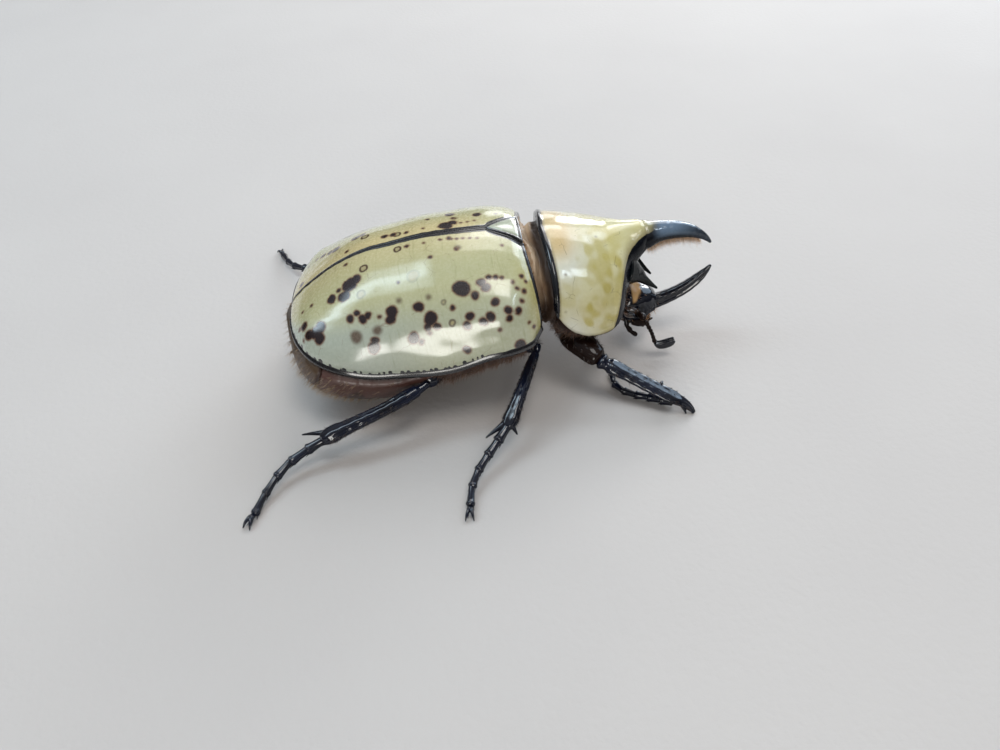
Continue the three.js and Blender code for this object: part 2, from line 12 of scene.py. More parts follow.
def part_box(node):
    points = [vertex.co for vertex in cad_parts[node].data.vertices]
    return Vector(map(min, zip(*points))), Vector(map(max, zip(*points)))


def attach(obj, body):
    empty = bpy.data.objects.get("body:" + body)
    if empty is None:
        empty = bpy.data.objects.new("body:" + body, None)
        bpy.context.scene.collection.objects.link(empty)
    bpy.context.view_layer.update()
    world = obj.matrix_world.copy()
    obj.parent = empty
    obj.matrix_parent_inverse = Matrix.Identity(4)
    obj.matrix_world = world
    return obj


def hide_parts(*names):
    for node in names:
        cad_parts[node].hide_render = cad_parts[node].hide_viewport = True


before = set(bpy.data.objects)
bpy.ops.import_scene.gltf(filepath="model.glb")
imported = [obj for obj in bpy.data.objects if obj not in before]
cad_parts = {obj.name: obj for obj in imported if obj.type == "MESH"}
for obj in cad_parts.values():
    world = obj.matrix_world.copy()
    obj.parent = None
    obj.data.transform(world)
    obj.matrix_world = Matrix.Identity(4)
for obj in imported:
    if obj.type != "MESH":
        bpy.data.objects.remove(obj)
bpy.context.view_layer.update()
print("frame loaded")

mm = 0.001
baseHollow = 0.7        # how far the midline front edge of the wing cases lies behind x = 0
shoulderAhead = 1.2     # how far their shoulders reach ahead of that edge
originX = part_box("elytron_right")[1].x / mm - (shoulderAhead - baseHollow)
sides = {"right": -1, "left": 1}


# Numbers: curves, steps, swells and distances over grids of points.

def profile(knots):
    # a smooth curve through (station, value) knots that never overshoots them
    stations, values = np.array(knots, float).T
    runs = np.diff(stations)
    slopes = np.diff(values) / runs
    tangents = np.concatenate([slopes[:1], np.zeros(len(runs) - 1), slopes[-1:]])
    for i in range(1, len(runs)):
        before, after = slopes[i - 1], slopes[i]
        if before * after > 0:
            weightBefore = 2 * runs[i] + runs[i - 1]
            weightAfter = runs[i] + 2 * runs[i - 1]
            tangents[i] = (weightBefore + weightAfter) / (weightBefore / before + weightAfter / after)

    def at(station):
        i = np.clip(np.searchsorted(stations, station, side="right") - 1, 0, len(runs) - 1)
        u = np.clip((station - stations[i]) / runs[i], 0, 1)
        rise = (3 - 2 * u) * u * u
        leave = u * (1 - u) ** 2 * runs[i]
        arrive = u * u * (u - 1) * runs[i]
        return (values[i] * (1 - rise) + values[i + 1] * rise
                + tangents[i] * leave + tangents[i + 1] * arrive)
    return at


def smoothStep(x, low, high):
    t = np.clip((x - low) / (high - low), 0, 1)
    return t * t * (3 - 2 * t)


def fallOff(x, low, high):
    # 1 up to low, and from there down to 0 at high
    return smoothStep(-x, -high, -low)


def hump(x, centre, width):
    return np.exp(-((x - centre) / width) ** 2)


def signedPower(x, power):
    return np.sign(x) * np.abs(x) ** power


def unit(vectors):
    return vectors / np.maximum(np.linalg.norm(vectors, axis=-1, keepdims=True), 1e-9)


def ripples(points, size, seed, waves=9):
    # a smooth random swell of about -1 to 1, with swells about size apart
    rng = np.random.default_rng(seed)
    total = 0
    for _ in range(waves):
        wave = unit(rng.normal(size=3)) * 2 * math.pi / (size * rng.uniform(0.7, 1.4))
        total = total + np.sin(points @ wave + rng.uniform(0, 2 * math.pi))
    return total / math.sqrt(waves * 2)


def runLength(grid, axis):
    # distance walked along one direction of a grid of points, from its first row or column
    steps = np.linalg.norm(np.diff(grid, axis=axis), axis=-1)
    first = np.zeros_like(np.take(steps, [0], axis=axis))
    return np.concatenate([first, np.cumsum(steps, axis=axis)], axis=axis)


def gridNormals(grid, wrap, outward):
    # unit normals of a grid of points, turned so that on average they point along outward
    down = np.gradient(grid, axis=0)
    if wrap:
        across = np.roll(grid, -1, 1) - np.roll(grid, 1, 1)
    else:
        across = np.gradient(grid, axis=1)
    normals = unit(np.cross(down, across))
    return normals if (normals * outward).sum() > 0 else -normals


def ringNormals(rings):
    # normals of closed rings, away from the rings' middles
    return gridNormals(rings, True, rings - rings.mean(1, keepdims=True))


def roundAngles(count):
    return np.linspace(0, 2 * math.pi, count, endpoint=False)[None]


def pointGrid(x, y, z):
    return np.stack(np.broadcast_arrays(x, y, z), -1)


def raised(grid, normals, height):
    return grid + normals * height[..., None]


# Mesh parts are dictionaries of points, quads, triangles and per-point fields.

def gridQuads(rows, columns, wrap=False):
    r = np.arange(rows - 1)[:, None]
    c = np.arange(columns if wrap else columns - 1)[None]
    n = (c + 1) % columns
    corners = [r * columns + c, r * columns + n, (r + 1) * columns + n, (r + 1) * columns + c]
    return np.stack(corners, -1).reshape(-1, 4)


def closedPart(points, quads, triangles, fields=None):
    # turns the faces outward by the sign of the enclosed volume
    allTriangles = np.vstack([quads[:, [0, 1, 2]], quads[:, [0, 2, 3]], triangles])
    a, b, c = (points[allTriangles[:, k]] for k in range(3))
    if (a * np.cross(b, c)).sum() < 0:
        quads, triangles = quads[:, ::-1], triangles[:, ::-1]
    return {"points": points, "quads": quads, "triangles": triangles, "fields": fields or {}}


def loft(rings, fields=None):
    # a closed skin over rows of rings, each end closed round its middle
    rows, count = rings.shape[:2]
    points = np.vstack([rings.reshape(-1, 3), rings[0].mean(0), rings[-1].mean(0)])
    s = np.arange(count)
    n = (s + 1) % count
    low, high = rows * count, rows * count + 1
    start = np.stack([np.full(count, low), n, s], -1)
    end = np.stack([np.full(count, high), low - count + s, low - count + n], -1)
    spread = {
        key: np.concatenate([values.ravel(), [values[0].mean(), values[-1].mean()]])
        for key, values in (fields or {}).items()
    }
    return closedPart(points, gridQuads(rows, count, True), np.vstack([start, end]), spread)


def plate(outer, inner, fields):
    # a plate between an outer and an inner sheet of the same rows and columns
    rows, columns = outer.shape[:2]
    size = rows * columns
    index = np.arange(size).reshape(rows, columns)
    rim = np.concatenate([index[0], index[1:, -1], index[-1, -2::-1], index[-2:0:-1, 0]])
    after = np.roll(rim, -1)
    face = gridQuads(rows, columns)
    edge = np.stack([after, rim, rim + size, after + size], -1)
    quads = np.vstack([face, face[:, ::-1] + size, edge])
    points = np.vstack([outer.reshape(-1, 3), inner.reshape(-1, 3)])
    doubled = {key: np.tile(values.ravel(), 2) for key, values in fields.items()}
    return closedPart(points, quads, np.zeros((0, 3), int), doubled)


def joined(parts):
    # one part from several, with a field missing from one of them filled with zeros
    names = {key for part in parts for key in part["fields"]}
    starts = np.cumsum([0] + [len(part["points"]) for part in parts])
    whole = {
        key: np.vstack([part[key] + start for part, start in zip(parts, starts)])
        for key in ("quads", "triangles")
    }
    whole["points"] = np.vstack([part["points"] for part in parts])
    whole["fields"] = {
        name: np.concatenate([part["fields"].get(name, np.zeros(len(part["points"]))) for part in parts])
        for name in names
    }
    return whole


def placed(points):
    return (points + np.array([originX, 0, 0])) * mm


def addPiece(name, part, material, nodes=(), uvs=None):
    # makes the object, lets it ride on the body, and hides the solids that it stands for
    mesh = bpy.data.meshes.new(name)
    quads, triangles = part["quads"], part["triangles"]
    corners = np.concatenate([quads.ravel(), triangles.ravel()])
    totals = np.concatenate([np.full(len(quads), 4), np.full(len(triangles), 3)])
    mesh.vertices.add(len(part["points"]))
    mesh.vertices.foreach_set("co", placed(part["points"]).ravel().astype(np.float32))
    mesh.loops.add(len(corners))
    mesh.loops.foreach_set("vertex_index", corners.astype(np.int32))
    mesh.polygons.add(len(totals))
    mesh.polygons.foreach_set("loop_start", (np.cumsum(totals) - totals).astype(np.int32))
    mesh.update(calc_edges=True)
    mesh.validate()
    mesh.shade_smooth()
    for field, values in part["fields"].items():
        attribute = mesh.attributes.new(field, "FLOAT", "POINT")
        attribute.data.foreach_set("value", values.astype(np.float32))
    if uvs is not None:
        layer = mesh.uv_layers.new(name="OFBake")
        layer.data.foreach_set("uv", uvs[corners].ravel().astype(np.float32))
    mesh.materials.append(material)
    piece = bpy.data.objects.new(name, mesh)
    bpy.context.scene.collection.objects.link(piece)
    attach(piece, "root")
    if nodes:
        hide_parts(*nodes)


# Limbs are rings of oval sections along a path of (x, y, z, half width, half height).

def throughPoints(stations, count):
    # a smooth curve through all columns of the stations, and how far along it each step is
    knots = np.array(stations, float)
    chord = np.concatenate([[0], np.cumsum(np.linalg.norm(np.diff(knots[:, :3], axis=0), axis=1))])
    tangents = np.gradient(knots, chord, axis=0)
    even = 0.45     # the share of the steps that are equal; the rest close up towards both ends
    u = np.linspace(0, 1, count)
    t = chord[-1] * (even * u + (1 - even) * (1 - np.cos(math.pi * u)) / 2)
    i = np.clip(np.searchsorted(chord, t, side="right") - 1, 0, len(chord) - 2)
    h = (chord[i + 1] - chord[i])[:, None]
    s = ((t - chord[i]) / h[:, 0])[:, None]
    rise = (3 - 2 * s) * s * s
    return (knots[i] * (1 - rise) + knots[i + 1] * rise
            + tangents[i] * s * (1 - s) ** 2 * h + tangents[i + 1] * s * s * (s - 1) * h), t


def limbRings(stations, count=40, around=28, caps=(0.6, 0.6), boxiness=2.0, relief=None, up=(0, 0, 1)):
    # caps: how long each rounded end is, in half widths; relief(share, angle, walked) is added in mm
    path, walked = throughPoints(stations, count)
    centre, halfWidth, halfHeight = path[:, :3], path[:, 3], path[:, 4]
    along = unit(np.gradient(centre, axis=0))
    across = unit(np.cross(along, np.array(up, float)))
    over = np.cross(across, along)
    length = walked[-1]
    closing = np.ones(count)
    blunt = 0.02     # what is left of the width at the very end
    for cap, distance, size in ((caps[0], walked, halfWidth[0]), (caps[1], length - walked, halfWidth[-1])):
        if cap > 0:
            inside = np.clip(1 - distance / (cap * size), 0, 1)
            closing = np.minimum(closing, np.sqrt(1 - inside ** 2) + blunt)
    angle = roundAngles(around)
    cosine = signedPower(np.cos(angle), 2 / boxiness)
    sine = signedPower(np.sin(angle), 2 / boxiness)
    extra = relief(walked[:, None] / length, angle, walked[:, None]) if relief else 0
    radiusX = (halfWidth[:, None] + extra) * closing[:, None]
    radiusY = (halfHeight[:, None] + extra) * closing[:, None]
    return (centre[:, None] + across[:, None] * (radiusX * cosine)[..., None]
            + over[:, None] * (radiusY * sine)[..., None])


def limb(stations, **shape):
    return loft(limbRings(stations, **shape))


def spike(root, tip, rootSize=0.42, tipSize=0.07, bend=(0, 0, 0), around=12, count=14):
    # a tapered spine from root to tip, its middle moved by bend
    root, tip, bend = (np.array(v, float) for v in (root, tip, bend))
    stations = []
    for share in (0, 0.3, 0.6, 0.85, 1):
        point = root + (tip - root) * share + bend * 4 * share * (1 - share)
        size = rootSize + (tipSize - rootSize) * share ** 0.85
        stations.append([*point, size, size])
    upward = (0, 0, 1) if abs(unit(tip - root)[2]) < 0.9 else (1, 0, 0)
    return limb(stations, count=count, around=around, caps=(0, 1), up=upward)


def mirrored(values, side):
    # the given values are for the right side, where y is negative
    flipped = np.array(values, float)
    flipped[..., 1] *= -side
    return flipped


# Node helpers: feed links a socket or sets a value, put makes a node and gives its outputs.

def feed(tree, socket, value):
    if isinstance(value, bpy.types.NodeSocket):
        tree.links.new(value, socket)
    else:
        socket.default_value = value


def put(tree, kind, inputs=None, **settings):
    node = tree.nodes.new("ShaderNode" + kind)
    for key, value in settings.items():
        setattr(node, key, value)
    for key, value in (inputs or {}).items():
        feed(tree, node.inputs[key], value)
    return node.outputs


def calculate(tree, operation, a, b):
    return put(tree, "Math", {0: a, 1: b}, operation=operation)[0]


def plus(tree, a, b):
    return calculate(tree, "ADD", a, b)


def minus(tree, a, b):
    return calculate(tree, "SUBTRACT", a, b)


def times(tree, a, b):
    return calculate(tree, "MULTIPLY", a, b)


def ranged(tree, value, start, end, low=0.0, high=1.0, **settings):
    # the value carried over from start..end to low..high
    span = {"Value": value, "From Min": start, "From Max": end, "To Min": low, "To Max": high}
    return put(tree, "MapRange", span, **settings)[0]


def blendColour(tree, share, first, second, how="MIX"):
    return put(tree, "Mix", {0: share, 6: first, 7: second}, data_type="RGBA", blend_type=how)[2]


def fieldValue(tree, name):
    return put(tree, "Attribute", attribute_name=name)["Fac"]


def colour(rgb):
    return (*rgb, 1.0)


def noise(tree, vector, scale, detail, output="Fac"):
    return put(tree, "TexNoise", {"Vector": vector, "Scale": scale, "Detail": detail})[output]


def objectPoint(tree):
    # object coordinates in millimetres
    point = put(tree, "TexCoord")["Object"]
    return put(tree, "VectorMath", {0: point, "Scale": 1 / mm}, operation="SCALE")[0]


def newGroup(name, inputs, outputs):
    # inputs are defaults by label; an input that isn't a float is a colour
    tree = bpy.data.node_groups.new(name, "ShaderNodeTree")
    for label, value in inputs.items():
        kind = "NodeSocketFloat" if isinstance(value, float) else "NodeSocketColor"
        tree.interface.new_socket(label, in_out="INPUT", socket_type=kind).default_value = value
    for label, kind in outputs.items():
        tree.interface.new_socket(label, in_out="OUTPUT", socket_type="NodeSocket" + kind)
    return tree, tree.nodes.new("NodeGroupInput").outputs, tree.nodes.new("NodeGroupOutput").inputs


def makeSoftEdge():
    # 1 where a field in mm is above the limit, with a soft, slightly ragged edge
    tree, given, result = newGroup(
        "softEdge", {"Field": 0.0, "Limit": 0.0, "Softness": 0.05, "Ragged": 0.03}, {"Mask": "Float"})
    wobble = minus(tree, noise(tree, objectPoint(tree), 2.6, 2.0), 0.5)
    field = plus(tree, given["Field"], times(tree, wobble, given["Ragged"]))
    low = minus(tree, given["Limit"], given["Softness"])
    high = plus(tree, given["Limit"], given["Softness"])
    feed(tree, result["Mask"], ranged(tree, field, low, high, interpolation_type="SMOOTHSTEP"))
    return tree


def makeColourDrift():
    # slow drift between two colours, Size mm from one to the next
    inputs = {"First": colour((1, 1, 1)), "Second": colour((0, 0, 0)), "Size": 4.0, "Contrast": 1.0}
    tree, given, result = newGroup("colourDrift", inputs, {"Color": "Color"})
    scale = calculate(tree, "DIVIDE", 1.0, given["Size"])
    swing = times(tree, minus(tree, noise(tree, objectPoint(tree), scale, 3.0), 0.5), given["Contrast"])
    share = put(tree, "Clamp", {"Value": plus(tree, swing, 0.5)})[0]
    feed(tree, result["Color"], blendColour(tree, share, given["First"], given["Second"]))
    return tree


reliefOutputs = {"Height": "Float", "Mask": "Float"}     # Height is 0 where Mask is 1


def makePits():
    # small round punctures, Size mm apart, each Width of that across
    tree, given, result = newGroup("pits", {"Size": 0.5, "Width": 0.25, "Fill": 0.6}, reliefOutputs)
    scale = calculate(tree, "DIVIDE", 1.0, given["Size"])
    cells = put(tree, "TexVoronoi", {"Vector": objectPoint(tree), "Scale": scale, "Randomness": 0.9})
    kept = calculate(tree, "LESS_THAN", put(tree, "SeparateColor", {0: cells["Color"]})[0], given["Fill"])
    slope = ranged(tree, cells["Distance"], 0.0, given["Width"], 1.0, 0.0, interpolation_type="SMOOTHSTEP")
    mask = times(tree, slope, kept)
    feed(tree, result["Mask"], mask)
    feed(tree, result["Height"], minus(tree, 1.0, mask))
    return tree


def makeScratches():
    # thin wandering scratches that differ in direction
    tree, given, result = newGroup("scratches", {"Size": 3.0, "Amount": 0.4}, reliefOutputs)
    point = objectPoint(tree)
    wander = noise(tree, point, 0.5, 1.0, "Color")
    bent = put(tree, "VectorMath", {0: point, 1: wander}, operation="ADD")[0]
    scale = calculate(tree, "DIVIDE", 1.0, given["Size"])
    cells = put(tree, "TexVoronoi", {"Vector": bent, "Scale": scale}, feature="DISTANCE_TO_EDGE")
    line = calculate(tree, "LESS_THAN", cells["Distance"], 0.007)
    some = calculate(tree, "GREATER_THAN", noise(tree, point, 0.7, 1.0), minus(tree, 0.8, given["Amount"]))
    mask = times(tree, line, some)
    feed(tree, result["Mask"], mask)
    feed(tree, result["Height"], minus(tree, 1.0, mask))
    return tree


softEdge, colourDrift, pits, scratches = makeSoftEdge(), makeColourDrift(), makePits(), makeScratches()


def useGroup(tree, group, **inputs):
    node = tree.nodes.new("ShaderNodeGroup")
    node.node_tree = group
    for key, value in inputs.items():
        feed(tree, node.inputs[key], value)
    return node.outputs


def drift(tree, look, first, second, size, contrast):
    colours = {"First": colour(look[first]), "Second": colour(look[second])}
    return useGroup(tree, colourDrift, Size=size, Contrast=contrast, **colours)["Color"]


def within(tree, field, limit, softness, ragged):
    value = fieldValue(tree, field)
    return useGroup(tree, softEdge, Field=value, Limit=limit, Softness=softness, Ragged=ragged)["Mask"]


def painted(tree, look, base, layers):
    # layers are (share, strength, colour name); a share is a socket or the name of a mesh field
    for share, strength, paint, *how in layers:
        share = fieldValue(tree, share) if isinstance(share, str) else share
        if strength != 1:
            share = times(tree, share, strength)
        base = blendColour(tree, share, base, colour(look[paint]), *how)
    return base


def shellShader(name, finish):
    # a new material with its Principled BSDF set to the finish
    material = bpy.data.materials.new(name)
    material.use_nodes = True
    shader = material.node_tree.nodes["Principled BSDF"]
    for socket, value in finish.items():
        shader.inputs[socket].default_value = value
    return material, material.node_tree, shader


def fineGrain(tree, size, detail=3.0):
    return noise(tree, objectPoint(tree), 1 / size, detail)


def finished(tree, shader, base, grain, roughness, bumps):
    # bumps are (height socket, depth in mm), stacked into the shader's normal
    feed(tree, shader.inputs["Base Color"], base)
    feed(tree, shader.inputs["Roughness"], ranged(tree, grain, 0.0, 1.0, *roughness))
    stacked = {}
    for height, depth in bumps:
        stacked = {"Normal": put(tree, "Bump", {"Height": height, "Distance": depth * mm, **stacked})[0]}
    feed(tree, shader.inputs["Normal"], stacked["Normal"])


def skyGloss(tree, weight, low):
    # clear gloss that fades on what faces down, where dust and shade dull it
    upward = put(tree, "SeparateXYZ", {0: put(tree, "NewGeometry")["Normal"]})["Z"]
    return ranged(tree, upward, -0.2, 0.55, low * weight, weight)


def dulled(tree, gloss, field, amount):
    return times(tree, gloss, plus(tree, times(tree, fieldValue(tree, field), -amount), 1.0))


def makeWingCaseMaterial():
    look = {
        "khaki": (0.53, 0.52, 0.30), "olive": (0.45, 0.44, 0.23), "tan": (0.66, 0.52, 0.25),
        "front": (0.45, 0.38, 0.10), "sage": (0.42, 0.46, 0.38), "spot": (0.010, 0.002, 0.003),
        "halo": (0.15, 0.05, 0.02), "pale": (0.44, 0.38, 0.19), "ring": (0.07, 0.035, 0.012),
        "brown": (0.075, 0.03, 0.012), "black": (0.008, 0.008, 0.010),
    }
    material, tree, shader = shellShader("wingCaseShell", {
        "IOR": 1.5, "Specular IOR Level": 0.3, "Coat Weight": 1.0, "Coat Roughness": 0.13, "Coat IOR": 1.6})
    along, out = fieldValue(tree, "alongShell"), fieldValue(tree, "outShell")
    place = put(tree, "CombineXYZ", {0: times(tree, along, 1.7), 1: times(tree, out, 0.16)})[0]
    streak = noise(tree, place, 1.6, 3.0)     # long dark streaks across the case
    worn = useGroup(tree, scratches, Size=3.4, Amount=0.24)
    punctures = useGroup(tree, pits, Size=0.55, Width=0.12, Fill=0.35)
    base = painted(tree, look, drift(tree, look, "khaki", "olive", 7.0, 1.8), [
        ("sageShare", 1, "sage"),
        ("tanShare", 1, "tan"),
        ("frontShare", 1, "front"),
        (ranged(tree, streak, 0.56, 0.8, 0.0, 0.38), 1, "olive", "MULTIPLY"),
        (worn["Mask"], 0.3, "halo"),
        (within(tree, "paleField", -0.04, 0.1, 0.06), fieldValue(tree, "ringShare"), "ring"),
        (within(tree, "paleField", 0.2, 0.08, 0.06), 0.85, "pale"),
        (within(tree, "brownField", -0.14, 0.3, 0.1), 0.85, "brown"),
        (within(tree, "spotField", -0.09, 0.17, 0.16), 0.9, "halo"),
        (within(tree, "spotField", 0.05, 0.12, 0.18), 1, "spot"),
        (within(tree, "edgeField", 0.0, 0.05, 0.04), 1, "black"),
    ])
    swell = fineGrain(tree, 0.35, 2.0)
    finished(tree, shader, base, swell, (0.2, 0.34), [
        (fineGrain(tree, 1.1), 0.012), (swell, 0.0022),
        (punctures["Height"], 0.006), (worn["Height"], 0.003)])
    return material


def makeShieldMaterial():
    look = {
        "ochre": (0.69, 0.66, 0.42), "olive": (0.50, 0.43, 0.14), "creamAndSheen": (0.72, 0.72, 0.59),
        "orange": (0.66, 0.43, 0.14), "brown": (0.10, 0.055, 0.018), "black": (0.003, 0.004, 0.007),
        "rim": (0.05, 0.022, 0.01), "paintedSkyBlue": (0.13, 0.19, 0.27),
    }
    material, tree, shader = shellShader("pronotumShell", {
        "IOR": 1.5, "Specular IOR Level": 0.12, "Coat Roughness": 0.12, "Coat IOR": 1.6})
    feed(tree, shader.inputs["Coat Weight"], dulled(tree, skyGloss(tree, 1.0, 0.08), "dullShare", 0.8))
    worn = useGroup(tree, scratches, Size=2.4, Amount=0.22)
    punctures = useGroup(tree, pits, Size=0.5, Width=0.16, Fill=0.4)
    stains = useGroup(tree, pits, Size=2.3, Width=0.14, Fill=0.3)
    base = painted(tree, look, drift(tree, look, "ochre", "olive", 5.5, 2.6), [
        # the cream layer is partly the shield's own paler tone low on its flanks and partly a painted sky
        # sheen along its top and rear
        ("creamShare", 1, "creamAndSheen"),
        ("orangeShare", 1, "orange"),
        ("oliveShare", 1, "olive"),
        (worn["Mask"], 0.5, "rim"),
        (stains["Mask"], 0.55, "brown"),
        (within(tree, "darkField", -0.5, 0.9, 0.3), 0.6, "brown"),
        (within(tree, "darkField", 0.05, 0.09, 0.25), 1, "black"),
        ("hornShare", 1, "black"),
        # a painted reflection of the sky: steel blue over the top of the horn
        ("steelShare", 1, "paintedSkyBlue"),
    ])
    swell = fineGrain(tree, 0.3, 2.0)
    finished(tree, shader, base, swell, (0.2, 0.34), [
        (fineGrain(tree, 0.9), 0.014), (swell, 0.0022),
        (punctures["Height"], 0.008), (worn["Height"], 0.004)])
    return material


# Glossy black shells: the first look is for all, and the others say only what differs.
bodyBlack = {
    "black": (0.003, 0.003, 0.005), "tint": (0.005, 0.007, 0.016), "dust": (0.018, 0.016, 0.015),
    "drift": 2.5, "pitSize": 0.45, "pitFill": 0.45, "depth": 0.014, "grain": 0.16, "smooth": 0.16,
    "coat": 0.9, "coatIndex": 1.45, "low": 0.08,     # low: the share of the coat left on what faces down
}
blackLooks = {
    "headShell": {"pitSize": 0.28, "pitFill": 0.5, "smooth": 0.12, "coatIndex": 1.55, "low": 0.02,
                  "bare": (0.50, 0.30, 0.13)},
    "hornShell": {"pitSize": 0.6, "pitFill": 0.25, "depth": 0.009, "smooth": 0.12, "coat": 1.0,
                  "coatIndex": 1.6, "low": 0.6},
    "sideHornShell": {"tint": (0.006, 0.011, 0.010), "coat": 0.35},
    "legShell": {"tint": (0.007, 0.011, 0.028), "pitSize": 0.5, "pitFill": 0.6, "depth": 0.03,
                 "smooth": 0.14, "coat": 1.0, "coatIndex": 1.6},
    "brownShell": {"black": (0.005, 0.003, 0.003), "tint": (0.017, 0.007, 0.004), "pitSize": 0.3,
                   "pitFill": 0.7, "depth": 0.02, "smooth": 0.26, "coat": 0.55},
}


def makeBlackMaterial(name, look):
    material, tree, shader = shellShader(name, {
        "IOR": 1.5, "Specular IOR Level": 0.04, "Coat Roughness": 0.08, "Coat IOR": look["coatIndex"]})
    punctures = useGroup(tree, pits, Size=look["pitSize"], Width=0.3, Fill=look["pitFill"])
    worn = useGroup(tree, scratches, Size=1.8, Amount=0.35)
    gloss = skyGloss(tree, look["coat"], look["low"])
    layers = [(punctures["Mask"], 0.5, "dust"), (worn["Mask"], 0.5, "dust")]
    if "bare" in look:
        gloss = dulled(tree, gloss, "bareShare", 0.75)
        layers.append(("bareShare", 1, "bare"))
    feed(tree, shader.inputs["Coat Weight"], gloss)
    base = painted(tree, look, drift(tree, look, "black", "tint", look["drift"], 1.6), layers)
    size, depth, smooth = look["grain"], look["depth"], look["smooth"]
    grain = fineGrain(tree, size)
    finished(tree, shader, base, grain, (smooth, smooth + 0.2), [
        (fineGrain(tree, 4 * size), 1.6 * depth), (grain, 0.4 * depth),
        (punctures["Height"], depth), (worn["Height"], 0.003)])
    return material


def makeBellyMaterial():
    look = {
        "chestnut": (0.04, 0.016, 0.010), "dark": (0.018, 0.008, 0.006), "rosy": (0.095, 0.042, 0.032),
        "olive": (0.075, 0.045, 0.016), "fold": (0.035, 0.014, 0.009),
    }
    finish = {"IOR": 1.5, "Coat Weight": 0.22, "Coat Roughness": 0.25}
    material, tree, shader = shellShader("bellyShell", finish)
    punctures = useGroup(tree, pits, Size=0.34, Width=0.3, Fill=0.75)
    base = painted(tree, look, drift(tree, look, "chestnut", "dark", 2.6, 1.7), [
        ("rosyShare", 1, "rosy"), ("oliveShare", 1, "olive"), ("foldShare", 1, "fold"),
        (punctures["Mask"], 0.4, "fold"),
    ])
    grain = fineGrain(tree, 0.12)
    finished(tree, shader, base, grain, (0.3, 0.5), [
        (fineGrain(tree, 0.6), 0.03), (grain, 0.006), (punctures["Height"], 0.025)])
    return material


def makeCollarMaterial():
    look = {"tan": (0.56, 0.42, 0.28), "orange": (0.20, 0.085, 0.027), "deep": (0.02, 0.008, 0.004)}
    stretch = (3.5, 0.6, 0.6)     # wrinkles run round the neck
    material, tree, shader = shellShader("neckMembrane", {"IOR": 1.45, "Coat Weight": 0.1})
    # the deep colour paints shade: low down, under the pronotum's rim and in the hollows of the folds
    base = painted(tree, look, drift(tree, look, "orange", "tan", 1.6, 1.0), [
        ("flapShare", 1, "tan"), ("lowShare", 1, "deep"), ("foldShare", 1, "deep")])
    grain = fineGrain(tree, 0.1)
    place = put(tree, "VectorMath", {0: objectPoint(tree), 1: stretch}, operation="MULTIPLY")[0]
    finished(tree, shader, base, grain, (0.4, 0.65), [(noise(tree, place, 1.6, 4.0), 0.12), (grain, 0.01)])
    return material


def makeEyeMaterial():
    look = {"dark": (0.012, 0.008, 0.007), "amber": (0.06, 0.028, 0.012)}
    finish = {"IOR": 1.56, "Coat Weight": 1.0, "Coat Roughness": 0.04}
    material, tree, shader = shellShader("eyeFacets", finish)
    cells = {"Vector": objectPoint(tree), "Scale": 14.0, "Randomness": 0.25}
    facets = put(tree, "TexVoronoi", cells)["Distance"]
    base = painted(tree, look, drift(tree, look, "dark", "amber", 0.7, 1.5), [
        (ranged(tree, facets, 0.0, 1.0, 0.0, 0.5), 1, "dark")])
    finished(tree, shader, base, facets, (0.12, 0.3), [(minus(tree, 1.0, facets), 0.012)])
    return material


def makeHairMaterial(name, root, tip):
    # hair tufts: darker at the root, each tuft its own shade
    material, tree, shader = shellShader(name, {"IOR": 1.5, "Sheen Weight": 0.25})
    blend = blendColour(tree, fieldValue(tree, "tipShare"), colour(root), colour(tip))
    shade = ranged(tree, fieldValue(tree, "tuftShade"), 0.0, 1.0, 0.65, 1.25)
    base = put(tree, "VectorMath", {0: blend, "Scale": shade}, operation="SCALE")[0]
    grain = fineGrain(tree, 0.2)
    finished(tree, shader, base, grain, (0.35, 0.6), [(grain, 0.004)])
    return material


hairLooks = {     # colours at the root and at the tip
    "paleHair": ((0.22, 0.13, 0.065), (0.55, 0.40, 0.24)),
    "fringeHair": ((0.60, 0.36, 0.19), (0.92, 0.73, 0.56)),
    "orangeHair": ((0.30, 0.11, 0.03), (0.68, 0.36, 0.12)),
    "brownHair": ((0.05, 0.02, 0.01), (0.20, 0.09, 0.04)),
    "darkHair": ((0.012, 0.006, 0.004), (0.08, 0.036, 0.018)),
}
wingCaseMaterial, shieldMaterial = makeWingCaseMaterial(), makeShieldMaterial()
bellyMaterial, collarMaterial, eyeMaterial = makeBellyMaterial(), makeCollarMaterial(), makeEyeMaterial()
headMaterial, hornMaterial, sideHornMaterial, legMaterial, brownMaterial = (
    makeBlackMaterial(name, {**bodyBlack, **look}) for name, look in blackLooks.items())
paleHair, fringeHair, orangeHair, brownHair, darkHair = (
    makeHairMaterial(name, *look) for name, look in hairLooks.items())
print("materials made")


# Wing cases. Angle 0 is the midline, 90 degrees the side margin; share runs from the front to the rear.
wingCase = {
    "length": 28.2,
    "thickness": 0.45,
    "slit": 0.02,              # half the gap between the two
    "rows": 250, "columns": 130,
    "sutureBand": 0.3, "marginBand": 0.8, "frontBand": 0.42,   # widths of the black bands
    "bead": 0.1, "gutter": 0.06,                               # raised rim and the groove beside it
    "striae": 9, "striaDepth": 0.006,
    "shoulder": 0.22, "apex": 0.3, "dent": 0.2,                # heights of its two humps and its long dent
    "tan": 0.75, "rightTan": 0.55,     # tan beside the seam, and how much of it the right one has
}
wingCaseTop = profile([(0, 17.25), (0.06, 17.85), (0.15, 18), (0.35, 17.9), (0.6, 16.9), (1, 15.6)])
wingCaseMargin = profile(
    [(0, 10.05), (0.04, 9.35), (0.15, 9.15), (0.35, 7.8), (0.6, 7.4), (0.85, 8.7), (1, 9.85)])
wingCaseHalfWidth = profile([(0, 9.7), (0.04, 11.4), (0.15, 12.5), (0.35, 12.65), (0.6, 12.05), (1, 11.75)])
bellyHalfWidth = profile([(0, 8.4), (0.15, 10), (0.35, 11.2), (0.6, 12.2), (1, 11.85)])
